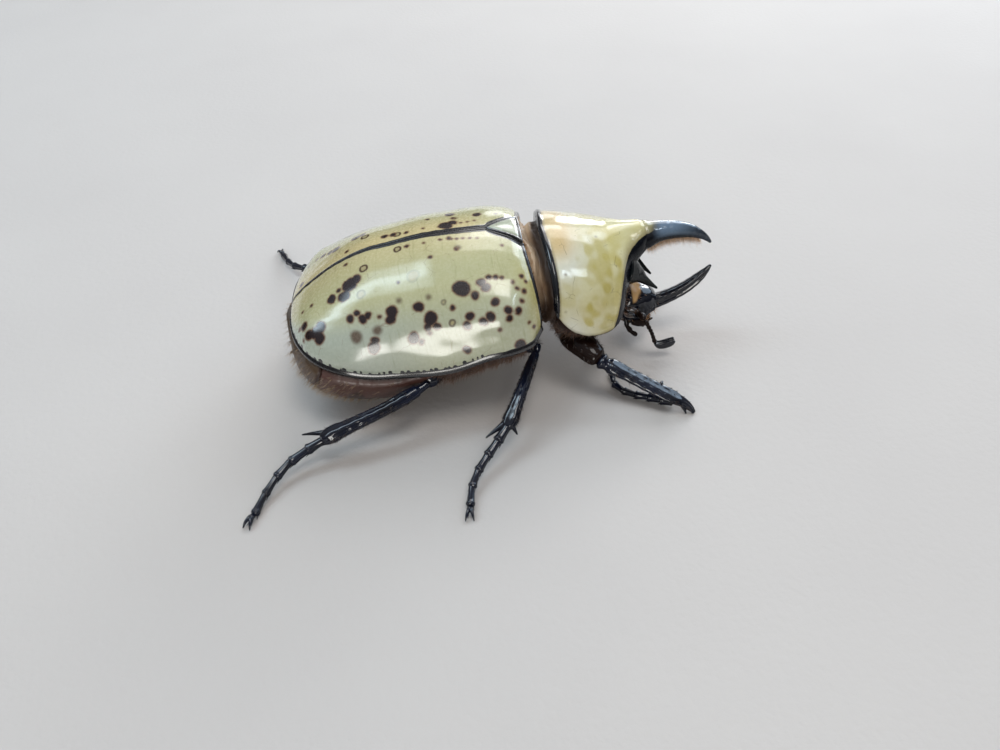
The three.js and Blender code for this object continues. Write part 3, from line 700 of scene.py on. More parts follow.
bellyHeight = profile([(0, 4.2), (0.15, 2.9), (0.4, 2.65), (0.7, 2.4), (0.9, 2.7), (1, 3.5)])
lowerPower = profile([(0, 2.5), (0.42, 2.5), (0.65, 3.6), (1, 3.6)])      # boxiness of the belly's section
closingStart = 0.6      # share of the length where the rear begins to close
closings = {            # how each size closes there: power and root
    "width": (3.1, 0.39), "dome": (1.9, 0.67), "bellyWidth": (5.7, 0.41), "bellyDepth": (2.5, 0.5)}
domePower = 0.93        # roundness of the sections
shoulderReach = 0.2


def closing(share, size):
    power, root = closings[size]
    s = np.clip((share - closingStart) / (1 - closingStart), 0, 1)
    return (1 - s ** power) ** root


def domePoint(share, angle, inset=0.0):
    share, angle = np.broadcast_arrays(np.asarray(share, float), np.asarray(angle, float))
    halfWidth = (wingCaseHalfWidth(share) - inset) * closing(share, "width")
    margin = wingCaseMargin(share)
    rise = (wingCaseTop(share) - inset - margin) * closing(share, "dome")
    lift = np.abs(np.cos(angle)) ** domePower
    fade = np.maximum(1 - share / shoulderReach, 0)
    shoulder = shoulderAhead * np.abs(np.sin(angle)) ** 1.5 * fade
    x = shoulder - baseHollow - (wingCase["length"] - inset - baseHollow) * share
    return pointGrid(x, halfWidth * np.sin(angle), margin + rise * lift)


# Dark spots: mm behind the front edge, degrees from the midline, radius in mm.
rightSpots = [
    (20, 23.5, 0.8), (20.7, 30, 0.64), (19.2, 21.5, 0.55), (22.2, 28.5, 0.55),
    (21.3, 24.5, 0.28),  # rear pair
    (20.1, 46, 0.4), (19.3, 43.5, 0.32), (18.7, 48, 0.45), (18.1, 46.5, 0.36),
    (23.6, 47.5, 0.6), (24.9, 54, 0.6), (23.8, 56.5, 0.6), (24.25, 52, 0.6), (25.6, 46, 0.5),   # trefoil
    (17.6, 62.5, 0.4), (17.8, 67, 0.62),
    (15.4, 47, 0.62), (15.6, 51, 0.5), (12.4, 46.5, 0.52), (11.2, 54, 0.68), (10.6, 59, 0.38),
    (11.6, 58.5, 0.4),
    (13.3, 64, 0.58), (12.5, 67, 0.3), (8.7, 50, 0.26), (7.5, 40, 0.85), (6.1, 45.5, 0.42),
    (5.3, 38.5, 0.45), (4.9, 42, 0.45), (4.5, 36, 0.28), (3.8, 36.5, 0.26), (3.2, 37.5, 0.2),
    (4.2, 51.5, 0.42), (3.1, 58, 0.42), (3.1, 63, 0.36), (2.2, 60, 0.4), (4.8, 60, 0.48), (5.5, 62, 0.42),
    (6.9, 57, 0.42), (7.3, 62, 0.42), (7.6, 77, 0.42), (2.3, 84, 0.6),
]
leftSpots = [
    (8.5, 6.5, 0.72), (7.7, 9, 0.45), (7.9, 21.5, 0.5), (4.7, 16, 0.45), (15.8, 8.5, 0.36), (14.8, 8, 0.34),
    (19.5, 20, 0.5), (18.7, 21, 0.36), (22.1, 18.5, 0.48), (22.9, 20, 0.36), (23.9, 24, 0.36),
    (26.7, 9, 0.34),
    (20.6, 38, 0.7), (21.3, 43, 0.5), (17, 50, 0.55), (24.2, 52, 0.6), (24.8, 57, 0.45), (15.2, 38, 0.55),
    (12.1, 52, 0.62), (11.4, 57, 0.42), (12.9, 66, 0.5), (8, 44, 0.8), (6.6, 48, 0.4), (5, 55, 0.46),
    (3.2, 61, 0.44), (3.6, 45, 0.3), (9.8, 63, 0.38), (17.8, 66, 0.5), (6.2, 75, 0.42), (20.4, 60, 0.4),
    (2.4, 82, 0.5),
]
freckles = [
    (20.5, 6.5, 0.2), (24.8, 26.5, 0.18), (13.2, 6.5, 0.24), (10.6, 18, 0.2), (11.2, 7, 0.13), (7.6, 15, 0.2),
    (16.8, 48.5, 0.18), (2.5, 16, 0.14), (4.1, 69.5, 0.2), (11.5, 62.5, 0.22), (0.9, 75, 0.2),
    (1.3, 70, 0.15),
    (8.3, 6, 0.24), (1.2, 39, 0.24), (1.3, 49, 0.26), (1.9, 46, 0.2), (1.7, 54.5, 0.24), (0.9, 43, 0.16),
    (9.3, 6.2, 0.16), (8, 6.8, 0.13), (7.4, 7.2, 0.15), (6.7, 7.4, 0.13), (5.9, 7.8, 0.14), (5.1, 8.4, 0.12),
    (26, 30, 0.16), (26.3, 50, 0.2), (25.8, 62, 0.18), (14.4, 30, 0.12), (2.2, 41.5, 0.18),
]
brownSpots = [(19.6, 58.5, 0.5), (17.2, 56.5, 0.34), (14.5, 41, 0.14), (11.2, 42, 0.14), (7.4, 14, 0.2)]
paleSpots = [(12.7, 28, 0.68, 0.25), (18.7, 32.5, 0.48, 0.4), (18.3, 15.5, 0.46, 1.0), (14.3, 7, 0.42, 1.0),
             (9.6, 46, 0.28, 0.6), (8.9, 58.5, 0.36, 0.8)]   # the fourth value is how dark the ring is


# The small plate between the wing cases and the pronotum: a rounded triangle with its tip to the rear.
scutellum = {
    "halfWidth": 2.57, "length": 3.9, "thickness": 0.5, "front": -0.6, "raised": 0.06, "crown": 0.16,
    "seam": 0.08, "border": 0.42, "gap": 0.04, "rim": 0.05, "groove": 0.06, "rows": 60, "columns": 61}


def scutellumHalfWidth(behind):
    # half the slot that the wing cases leave for it, at a distance behind the front edge
    v = np.clip((behind + scutellum["front"]) / scutellum["length"], 0, 1)
    taper = (1 - v) ** 0.62 * (1 - 0.25 * v)
    return scutellum["halfWidth"] * taper + scutellum["seam"] * fallOff(v, 0.98, 1)


def spotField(grid, spots, side, seed):
    # mm from each grid point in from the edge of the nearest spot; each spot is a little uneven
    rng = np.random.default_rng(seed)
    field = np.full(grid.shape[:2], -1.0)
    for along, degrees, radius in spots:
        centre = domePoint(along / wingCase["length"], math.radians(degrees) * side)
        offset = grid - centre
        distance = np.linalg.norm(offset, axis=-1)
        turn = np.arctan2(np.hypot(offset[..., 1], offset[..., 2]) * np.sign(offset[..., 2]), offset[..., 0])
        first, second = rng.uniform(0, 2 * math.pi, 2)
        uneven = 1.1 + 0.09 * np.sin(2 * turn + first) + 0.04 * np.sin(3 * turn + second)
        field = np.maximum(field, radius * uneven - distance)
    return field


def serrations(grid, toMargin, seed):
    # small dark dots in a loose row just inside the rear half of the side margin
    rng = np.random.default_rng(seed)
    field = np.full(grid.shape[:2], -1.0)
    along = runLength(grid[:, -1:], 0)[:, 0]
    place = along[-1] * 0.22
    while place < along[-1] * 0.9:
        row = np.abs(along - place).argmin()
        column = np.abs(toMargin[row] - wingCase["marginBand"] - rng.uniform(-0.05, 0.2)).argmin()
        offset = grid - grid[row, column]
        away = np.hypot(offset[..., 0] * rng.uniform(1, 1.9), np.hypot(offset[..., 1], offset[..., 2]))
        field = np.maximum(field, rng.uniform(0.16, 0.3) - away)
        place += rng.uniform(0.45, 1.3)
    return field


def makeWingCase(name, side, spots, tan):
    # tan: how strong the tan beside the seam is
    rows, columns = wingCase["rows"], wingCase["columns"]
    u = np.linspace(0, 2, rows)      # half of the rows lie ahead of the closing rear
    rear = 1 - np.cos(np.clip(u - 1, 0, 1) * math.pi / 2) ** 1.35
    shares = np.where(u < 1, closingStart * u, closingStart + (1 - closingStart) * rear)
    shares = np.minimum(shares, 0.9997)[:, None]
    innerEdge = wingCase["slit"] + scutellumHalfWidth(-domePoint(shares, 0.0)[..., 0])
    widest = wingCaseHalfWidth(shares) * closing(shares, "width")
    first = np.arcsin(np.clip(innerEdge / widest, 0, 0.99))
    angles = (first + (math.pi / 2 - first) * np.linspace(0, 1, columns)[None]) * side
    outer = domePoint(shares, angles)
    normals = gridNormals(outer, False, np.array([0, side, 2.0]))
    toSuture = runLength(outer, 1)
    toMargin = toSuture[:, -1:] - toSuture
    toFront = runLength(outer, 0)
    corner = smoothStep(toMargin, 0.3, 2.5)
    bead = wingCase["bead"] * (hump(toMargin, 0.3, 0.26) + 0.5 * hump(toSuture, 0.12, 0.16)
                               + 0.6 * hump(toFront, 0.16, 0.16) * corner)
    groove = wingCase["gutter"] * (hump(toMargin, 0.85, 0.24) + 0.5 * hump(toSuture, 0.42, 0.13)
                                   + 0.6 * hump(toFront, 0.48, 0.16) * corner)
    width = toSuture[:, -1:]
    stria = np.cos(toSuture / width * wingCase["striae"] * 2 * math.pi) * wingCase["striaDepth"]
    stria = stria * smoothStep(width, 5, 12)
    degrees = np.degrees(np.abs(angles))
    shoulder = wingCase["shoulder"] * hump(shares, 0.09, 0.06) * hump(degrees, 62, 15)
    apex = wingCase["apex"] * hump(shares, 0.88, 0.05) * hump(degrees, 48, 16)
    fold = hump(degrees, 70 + 3 * np.sin(9 * shares), 9) * smoothStep(shares, 0.02, 0.1)
    fold = fold * fallOff(shares, 0.36, 0.56) * (1 + 0.4 * ripples(outer, 5, 15))
    dent = -wingCase["dent"] * fold
    swell = ripples(outer, 5.5, 11) * 0.025 + ripples(outer, 2.2, 12) * 0.005
    height = bead - groove + stria + shoulder + apex + dent + swell * smoothStep(toMargin, 0.3, 2)
    outer = raised(outer, normals, height)
    inner = outer - normals * wingCase["thickness"]
    inner[..., 1] = side * np.maximum(np.abs(inner[..., 1]), innerEdge)
    edgeWidth = wingCase["marginBand"] * (1 + 0.06 * ripples(outer, 1.4, 13))
    nearScutellum = 0.08 * fallOff(toFront, 0.5, 8) * fallOff(toSuture, 1, 4)
    sutureWidth = wingCase["sutureBand"] + 0.34 * fallOff(toFront, 5, 25)
    edge = np.maximum.reduce([
        edgeWidth - toMargin,
        sutureWidth + nearScutellum + 0.04 * ripples(outer, 1.2, 14) - toSuture,
        wingCase["frontBand"] + nearScutellum * 0.7 - toFront,
        serrations(outer, toMargin, 21),
    ])
    rings = np.zeros(outer.shape[:2])
    pale = np.full(outer.shape[:2], -1.0)
    for distance, angle, radius, ring in paleSpots:
        one = spotField(outer, [(distance, angle, radius)], side, 31)
        rings = np.where(one > -0.2, ring, rings)
        pale = np.maximum(pale, one)
    fields = {
        "spotField": spotField(outer, spots + freckles, side, 41),
        "brownField": spotField(outer, brownSpots, side, 43),
        "paleField": pale, "ringShare": rings, "edgeField": edge,
        "alongShell": toFront, "outShell": toSuture,
        "tanShare": tan * fallOff(toSuture, 0.5, 6.5) * smoothStep(shares, 0.02, 0.25),
        "sageShare": smoothStep(degrees, 34, 60) * (0.55 + 0.45 * smoothStep(shares, 0.3, 0.7)),
        "frontShare": 0.7 * fallOff(toFront, 0.3, 3.2) * smoothStep(degrees, 18, 50),
    }
    part = plate(outer, inner, fields)
    addPiece(f"wing_case_{name}", part, wingCaseMaterial, [f"elytron_{name}"])


makeWingCase("right", sides["right"], rightSpots, wingCase["tan"] * wingCase["rightTan"])
makeWingCase("left", sides["left"], leftSpots, wingCase["tan"])
print("wing cases made")


def makeScutellum():
    v = np.linspace(0, 1, scutellum["rows"])[:, None]
    w = np.linspace(-1, 1, scutellum["columns"])[None]
    halfWidth = scutellumHalfWidth(scutellum["length"] * v - scutellum["front"]) - scutellum["gap"]
    x = scutellum["front"] - scutellum["length"] * v + 0 * w
    y = halfWidth * w
    edge = np.minimum(halfWidth * (1 - np.abs(w)), v * scutellum["length"])
    share = -x / wingCase["length"]
    angle = np.arcsin(np.clip(y / wingCaseHalfWidth(share), -1, 1))
    bed = domePoint(share, angle)[..., 2] + scutellum["raised"]
    z = bed + scutellum["crown"] * (1 - w ** 2) * (1 - v ** 2)
    z = z + scutellum["rim"] * hump(edge, 0.12, 0.1) - scutellum["groove"] * hump(edge, 0.4, 0.14)
    top = pointGrid(x, y, z)
    top = top + ripples(top, 1.4, 51)[..., None] * np.array([0, 0, 0.012])
    low = top - np.array([0, 0, scutellum["thickness"]])
    far = np.full_like(edge, -1)
    # the sage tint over the whole plate is a painted sky reflection
    fields = {"edgeField": scutellum["border"] - edge, "spotField": far, "paleField": far, "brownField": far,
              "sageShare": np.full_like(edge, 0.7)}
    addPiece("scutellum_plate", plate(top, low, fields), wingCaseMaterial, ["scutellum"])


makeScutellum()


# Hind body: rings with the dome under the wing cases above and the deeper belly below.
hindBody = {
    "length": 29.1, "shellGap": 1.2, "clearance": 0.3, "slit": 0.012, "around": 150,
    "step": 0.08, "groove": 0.12,     # relief of the belly plates
    "midline": 0.2, "hips": 0.25, "seam": 0.16,     # depths of the grooves of the thorax
    "plates": {     # shares where each begins and ends, and its rows
        "thorax_underside": (0.01, 0.42, 90), "abdomen": (0.42, 0.9, 130), "pygidium": (0.9, 0.9992, 60)},
}
sternites = (0.5, 0.58, 0.66, 0.74, 0.82)     # where one belly plate ends and the next begins


def hindRings(shares):
    share = np.asarray(shares, float)[:, None]
    half = hindBody["around"] // 2
    upper = domePoint(share, np.linspace(-math.pi / 2, math.pi / 2, half)[None], hindBody["shellGap"])
    rimX = upper[:, :1, 0]
    rimShare = -(rimX + baseHollow) / (wingCase["length"] - baseHollow)
    margin = np.minimum(wingCaseMargin(share), wingCaseMargin(rimShare)) - hindBody["clearance"]
    halfWidth = bellyHalfWidth(share) * closing(share, "bellyWidth")
    depth = (margin - bellyHeight(share)) * closing(share, "bellyDepth")
    angle = np.linspace(0, math.pi, half)[None]
    across = signedPower(np.cos(angle), 2 / lowerPower(share))
    down = np.sin(angle) ** (2 / lowerPower(share))
    x = rimX * (1 - down) - hindBody["length"] * share * down
    lower = pointGrid(x, halfWidth * across, margin - depth * down)
    return np.concatenate([upper, lower], 1)


def makeHindPlate(name, start, end, rows):
    shares = np.linspace(start, end - (hindBody["slit"] / 2 if end < 0.95 else 0), rows)
    rings = hindRings(shares)
    normals = ringNormals(rings)
    half = hindBody["around"] // 2
    ring = np.arange(rings.shape[1])[None]
    below = np.where(ring >= half, 1.0, 0.0)
    angle = np.clip((ring - half) / (half - 1), 0, 1) * math.pi
    s = shares[:, None]
    wander = 0.006 * ripples(rings, 1.1, 64)
    grooves = sum(hump(s + wander, edge, 0.006) for edge in sternites)
    steps = sum(smoothStep(s, edge - 0.07, edge - 0.004) * (s < edge) for edge in sternites)
    sideBand = below * smoothStep(np.abs(np.cos(angle)), 0.72, 0.93)
    height = below * (hindBody["step"] * steps - hindBody["groove"] * grooves) * (1 - 0.75 * sideBand)
    grooves = 0.4 * grooves * (1 - 0.6 * sideBand)
    if name == "thorax_underside":
        midline = hump(np.cos(angle), 0, 0.05)
        hips = hump(s, 0.385, 0.012) + hump(s, 0.2, 0.01) * smoothStep(np.abs(np.cos(angle)), 0.3, 0.5)
        seam = hump(np.abs(np.cos(angle)), 0.72 + 0.25 * (s - 0.2), 0.03)
        height = -below * (hindBody["midline"] * midline + hindBody["hips"] * hips + hindBody["seam"] * seam)
        grooves = hips + 0.7 * midline + 0.6 * seam
    if name == "pygidium":
        height = 0.1 * hump(s, 0.955, 0.02) - 0.15 * hump(s, 0.905, 0.004)
        grooves = hump(s, 0.905, 0.006) + 0 * below
    height = height + 0.05 * ripples(rings, 1.6, 61) + 0.012 * ripples(rings, 0.6, 62)
    rings = raised(rings, normals, height)
    blotches = smoothStep(ripples(rings, 3.2, 63), 0.55, 0.75) * sideBand
    rosy = sideBand * (0.7 if name == "abdomen" else 0.25) + 0.1 * below
    fields = {
        "rosyShare": np.clip(rosy, 0, 1) * (1 - blotches),
        "oliveShare": (0.7 if name == "pygidium" else 0.0) * smoothStep(rings[..., 2], 5, 9),
        "foldShare": np.clip(grooves * below + 0.7 * blotches, 0, 1),
    }
    addPiece(f"{name}_plates", loft(rings, fields), bellyMaterial, [name])
    return rings, normals


hindGrids = {name: makeHindPlate(name, *span) for name, span in hindBody["plates"].items()}
print("hind body made")


# Soft collar between the wing cases and the pronotum, folded lengthwise.
waist = {"x": 1.35, "curve": 0.75, "reach": 3}
collar = {
    "halfWidth": 7.9, "height": 5.2, "middle": 11.2, "sag": 0.6, "folds": 0.32, "flap": 0.5,
    "under": (0.3, 0.25),     # how far it reaches in behind and ahead of the gap
    "follows": (1.4, 0.95),   # how much its two ends follow the curve of the rim
    "rows": 70, "around": 200}


def rearRim(angle):
    # how far a point of the rear rim lies ahead of the midline above, by its angle round the body
    upper = waist["curve"] * np.abs(np.sin(angle)) ** 1.2
    return np.where(np.cos(angle) < 0, waist["curve"], upper)


def makeCollar():
    v = np.linspace(0, 1, collar["rows"])[:, None]
    angle = roundAngles(collar["around"])
    start, end = -baseHollow - collar["under"][0], waist["x"] + collar["under"][1]
    first, last = collar["follows"]
    x = start + (end - start) * v + (first + (last - first) * v) * rearRim(angle)
    sag = -collar["sag"] * np.sin(math.pi * v) + 0.9 * fallOff(v, 0.0, 0.2)
    fold = collar["folds"] * np.sin(v * 3.1 * math.pi + 1.3 * np.sin(2 * angle) + 0.9 * np.sin(5 * angle))
    flap = hump(v, 0.4, 0.26) * hump(np.abs(np.angle(np.exp(1j * angle))), 0.42, 0.3)
    size = sag + fold * np.sin(math.pi * v) + collar["flap"] * flap
    y = (collar["halfWidth"] + size) * np.sin(angle)
    z = collar["middle"] + (collar["height"] + size) * np.cos(angle)
    rings = pointGrid(x, y, z)
    normals = ringNormals(rings)
    rings = raised(rings, normals, 0.05 * ripples(rings, 0.9, 71) + 0.02 * ripples(rings, 0.35, 72))
    # painted shade: darker low down, towards the end that runs in under the pronotum, and in the hollows of
    # the folds
    low = np.maximum(fallOff(rings[..., 2], 11, 14.6), smoothStep(v, 0.5, 0.75))
    fields = {"flapShare": flap, "lowShare": 0.95 * low,
              "foldShare": 0.3 * smoothStep(-fold / collar["folds"], 0.2, 1)}
    addPiece("neck_membrane", loft(rings, fields), collarMaterial, ["collar"])
    return rings, normals


collarGrid = makeCollar()
print("collar made")


# Pronotum: stations are x; every ring has a domed upper part and a shallow lower one.
pronotum = {
    "end": 14.05, "rows": 190, "upper": 130, "lower": 50,
    "rimBand": 0.82, "sideBand": 0.16, "bead": 0.18, "groove": 0.05,
    "cheek": 0.18, "saddle": 0.12,     # hollows beside the front and the top
    "dive": 0.16,                      # how far its front end dips into the horn
}
shieldHalfWidth = profile([
    (1.35, 8.8), (2.4, 9.2), (4, 9.45), (5.8, 9.55), (8, 9), (9.5, 8.1),
    (10.4, 6.9), (11.2, 4.9), (12, 3.55), (12.8, 2.75), (14, 1.9)])
shieldMargin = profile([
    (1.35, 11.6), (2.4, 10.4), (4, 9.2), (5.8, 8.45), (8, 8.2), (9.5, 8.5),
    (10.4, 9.3), (11.2, 10.9), (12, 12.5), (12.8, 13.8), (14, 14.7)])
shieldTop = profile([
    (1.35, 17.15), (2.2, 17.5), (4, 17.4), (5.8, 17.1), (8, 16.7), (9.5, 16.5), (11.2, 16.6), (14, 16.7)])
shieldDepth = profile([(1.35, 0.6), (9.5, 0.8), (11.2, 1.1), (12, 1.3), (12.8, 1.5), (14, 1.2)])
darkBorder = profile([     # degrees from the top at which the yellow turns black
    (8.8, 92), (9.3, 84), (9.8, 72), (10.2, 62), (10.8, 54), (11.6, 50), (12.6, 50), (14, 48), (15, 34)])
hornFade = (13.0, 16.2)     # x over which the yellow fades to black along the top


def hornDarkness(points, angle):
    # mm beyond the border where the yellow turns black, and the fade along the horn's top
    x, reach = points[..., 0], np.hypot(points[..., 1], 2.0)
    front = np.radians(np.abs(angle) - darkBorder(x)) * np.maximum(reach, 1.5)
    field = np.where(x < 8.9, -1.0, front)
    return field, smoothStep(x + 0.35 * ripples(points, 1.6, 81), *hornFade)


olivePatches = [     # centre, reach and strength of each darker patch
    ((7.9, -6.0, 15.0), 2.5, 0.7), ((6.2, -9.0, 10.9), 1.3, 0.9), ((3.6, -8.6, 13.4), 1.6, 0.4),
    ((9.7, -6.0, 12.6), 3.0, 0.55), ((8.3, -8.8, 9.9), 1.5, 0.55)]


def patch(points, centre, reach):
    # 1 at a place on both flanks of the shield, fading raggedly over a reach in mm
    away = np.linalg.norm((points - centre) * [1, 0, 1], axis=-1) + 0.5 * reach * ripples(points, 1.5, 87)
    return fallOff(away, 0.25 * reach, reach)


def makePronotum():
    rows = pronotum["rows"]
    u = np.linspace(0, 1, rows)
    start, end = waist["x"], pronotum["end"]
    x = (start + (end - start) * (0.85 * u + 0.15 * u ** 2))[:, None]
    x[0] += 0.002
    ahead = np.maximum(1 - (x - start) / waist["reach"], 0)
    halfWidth, margin = shieldHalfWidth(x), shieldMargin(x)
    upperAngle = np.linspace(-math.pi / 2, math.pi / 2, pronotum["upper"])[None]
    lowerAngle = np.linspace(math.pi / 2, -math.pi / 2, pronotum["lower"] + 2)[None, 1:-1]
    upper = pointGrid(
        x + ahead * rearRim(upperAngle), halfWidth * np.sin(upperAngle),
        margin + (shieldTop(x) - margin) * np.abs(np.cos(upperAngle)) ** domePower)
    lower = pointGrid(
        x + ahead * waist["curve"], halfWidth * np.sin(lowerAngle) * 0.97,
        margin - shieldDepth(x) * np.cos(lowerAngle) ** 0.7)
    toRear = runLength(upper, 0)
    across = runLength(upper, 1)
    toSide = np.minimum(across, across[:, -1:] - across)
    normals = gridNormals(upper, False, np.array([0, 0, 1.0]))
    degrees = np.degrees(upperAngle) + 0 * x
    lip = fallOff(x, 8.6, 9.6)
    bead = pronotum["bead"] * (hump(toRear, 0.42, 0.3) + 0.6 * hump(toSide, 0.16, 0.14) * lip)
    groove = pronotum["groove"] * (0.3 * hump(toRear, 1.0, 0.3) + hump(toSide, 0.5, 0.16) * lip)
    cheek = -pronotum["cheek"] * hump(x, 10.2, 0.9) * hump(np.abs(degrees), 48, 14)
    saddle = -pronotum["saddle"] * hump(x, 9.6, 2.0) * hump(np.abs(degrees), 24, 12)
    swell = 0.03 * ripples(upper, 4.5, 82) + 0.008 * ripples(upper, 1.6, 83)
    swell = swell * smoothStep(toSide, 0.2, 1.2) * smoothStep(toRear, 0.2, 1.2)
    dive = pronotum["dive"] * smoothStep(x, 13.2, end)
    height = bead - groove + cheek + saddle + swell - dive
    upper = raised(upper, normals, height)
    rings = np.concatenate([upper, lower], 1)
    angle = np.concatenate([degrees, np.full(lower.shape[:2], 95.0)], 1)
    field, fade = hornDarkness(rings, angle)
    bands = np.maximum(pronotum["rimBand"] - toRear,
                       pronotum["sideBand"] * (1 + 0.3 * ripples(upper, 0.7, 84)) - toSide)
    bands = np.concatenate([np.where(bands < 0, 3 * bands, bands), np.full(lower.shape[:2], 0.3)], 1)
    x, z = rings[..., 0], rings[..., 2]
    blotches = smoothStep(ripples(rings, 2.4, 85), -0.3, 0.9)
    orange = 0.75 * hump(x, 3.4, 2.0) * smoothStep(z, 15.6, 17.1)
    orange = orange + 0.45 * hump(x, 8.8, 1.8) * hump(z, 10.5, 1.3) * blotches
    # cream: a paler tone low on the flanks, and a painted sky sheen along the top and over the rear
    creamAndSheen = 0.75 * np.maximum(fallOff(z, 8.8, 12.5), hump(z, 16.2, 1.4)) * hump(x, 4.4, 2.8)
    creamAndSheen = creamAndSheen + 0.55 * hump(x, 3.6, 1.5)
    olive = sum(strength * patch(rings, centre, reach) for centre, reach, strength in olivePatches)
    fields = {
        "darkField": np.maximum(field, bands),
        "dullShare": smoothStep(field, -0.1, 0.15),
        "hornShare": fade,
        "orangeShare": np.clip(orange, 0, 1),
        "creamShare": np.clip(creamAndSheen, 0, 1),
        "oliveShare": np.clip(olive, 0, 1),
    }
    addPiece("pronotum_shield", loft(rings, fields), shieldMaterial, ["pronotum"])
    return rings, ringNormals(rings)


shieldGrid = makePronotum()

# The forward horn of the pronotum: oval, flatter above where it leaves the shield, hooked down at its tip.
mainHorn = {
    "stations": [
        (13.75, 0, 15.15, 1.92, 1.52), (14.15, 0, 15.15, 1.86, 1.53), (15.1, 0, 15.25, 1.5, 1.3),
        (16.6, 0, 15.3, 1.15, 1.08), (18.2, 0, 15.2, 1.0, 0.95), (19.6, 0, 14.85, 0.78, 0.76),
        (20.8, 0, 14.25, 0.55, 0.52), (21.7, 0, 13.55, 0.34, 0.34), (22.3, 0, 12.9, 0.14, 0.14)],
    "dropped": 0.45,       # how far the widest line lies below the middle where the horn starts
    "furrow": 0.14,        # depth of the haired furrow underneath
    "ridge": 0.06,         # height of the ridges beside it
}


def makeMainHorn():
    def relief(share, angle, walked):
        fromBelow = np.angle(np.exp(1j * (angle + math.pi / 2)))
        underneath = hump(fromBelow, 0, 0.35)
        ridge = hump(np.abs(fromBelow), 0.75, 0.2)
        along = smoothStep(share, 0.05, 0.25) * fallOff(share, 0.7, 0.95)
        wave = 0.012 * np.sin(walked * 5.3 + 1.7 * np.sin(walked * 2.1) + 2 * np.cos(angle))
        return along * (ridge * mainHorn["ridge"] - underneath * mainHorn["furrow"]) + wave * along

    rings = limbRings(mainHorn["stations"], count=110, around=64, caps=(0.02, 1.0), relief=relief)
    middle = rings.mean(1, keepdims=True)
    drop = mainHorn["dropped"] * fallOff(middle[..., 0], 13.8, 16.4)
    offset = rings[..., 2] - middle[..., 2]
    rings[..., 2] -= drop * (1 - (offset / 1.6) ** 2).clip(0, 1)
    angle = np.degrees(np.arctan2(rings[..., 1], rings[..., 2] - middle[..., 2] + 0.45))
    field, fade = hornDarkness(rings, angle)
    onTop = smoothStep(np.cos(np.radians(angle)), 0.05, 0.7)
    # painted sky reflection: steel blue on the horn's upper side from near its base, fading towards the tip
    paintedSkyBlue = onTop * smoothStep(rings[..., 0], 14.4, 16.0) * (1 - 0.85 * smoothStep(rings[..., 0], 16.5, 21.0))
    fields = {"darkField": field, "hornShare": fade, "steelShare": paintedSkyBlue, "creamShare": 0.3 * (1 - fade),
              "dullShare": smoothStep(field, -0.1, 0.15) * (1 - onTop)}
    addPiece("pronotal_horn_shell", loft(rings, fields), shieldMaterial, ["pronotal_horn"])
    return rings, gridNormals(rings, True, rings - middle)


hornGrid = makeMainHorn()

sideHorn = [(10.7, -3.3, 12.5, 1.9, 2.1), (11.5, -3.0, 12.05, 1.5, 1.75), (12.2, -2.7, 11.5, 1.2, 1.45),
            (12.9, -2.45, 11, 0.85, 1.05), (13.7, -2.15, 10.2, 0.52, 0.6), (14.6, -1.85, 9.25, 0.32, 0.38),
            (15.85, -1.5, 8.0, 0.12, 0.13)]
for name, side in sides.items():
    part = limb(mirrored(sideHorn, side), count=60, around=36, caps=(0.2, 1.0), boxiness=1.8,
                relief=lambda share, angle, walked: -0.1 * hump(np.cos(angle), 0.8, 0.3) * (1 - share))
    addPiece(f"side_horn_{name}_shell", part, sideHornMaterial, [f"side_horn_{name}"])
print("pronotum and horns made")


# Underside of the prothorax, with a low keel between the hips.
throat = {
    "start": 2.1, "end": 10.5, "middle": 9.6, "keel": 0.35, "seam": 0.25, "rows": 80, "around": 110,
    "closing": (6.3, 4.25),     # x of its fullest section, and from there to where it closes
}
throatHalfWidth = profile([(1.7, 7.4), (4, 8.6), (6, 8.7), (8.5, 7.6), (10.6, 4.4)])
throatBottom = profile([(1.7, 5.6), (4, 4.2), (7, 4), (9.5, 4.7), (10.6, 6)])


def makeThroat():
    x = np.linspace(throat["start"] - 0.25, throat["end"] + 0.15, throat["rows"])[:, None]
    angle = roundAngles(throat["around"])
    drop = throat["middle"] - throatBottom(x)
    upper = np.where(np.cos(angle) > 0, 0.5, 1)
    fullest, reach = throat["closing"]
    ends = np.sqrt(1 - np.clip(np.abs(x - fullest) / reach, 0, 1) ** 8)
    rings = pointGrid(
        x, throatHalfWidth(x) * np.sin(angle) * ends,
        throat["middle"] + drop * np.cos(angle) * upper * ends)
    normals = ringNormals(rings)
    low = smoothStep(-np.cos(angle), 0.2, 0.5)
    keel = throat["keel"] * hump(rings[..., 1], 0, 0.5) * hump(x, 7.6, 1.6) * low
    seam = -throat["seam"] * hump(np.abs(rings[..., 1]), 6.4, 0.3) * low
    height = keel + seam + 0.04 * ripples(rings, 1.3, 91) + 0.015 * ripples(rings, 0.5, 92)
    rings = raised(rings, normals, height)
    fields = {"rosyShare": np.full_like(height, 0.1),
              "foldShare": 0.55 + 0.45 * hump(np.abs(rings[..., 1]), 6.4, 0.35) * low}
    addPiece("prosternum_plate", loft(rings, fields), bellyMaterial, ["prosternum"])
    return rings, normals


throatGrid = makeThroat()

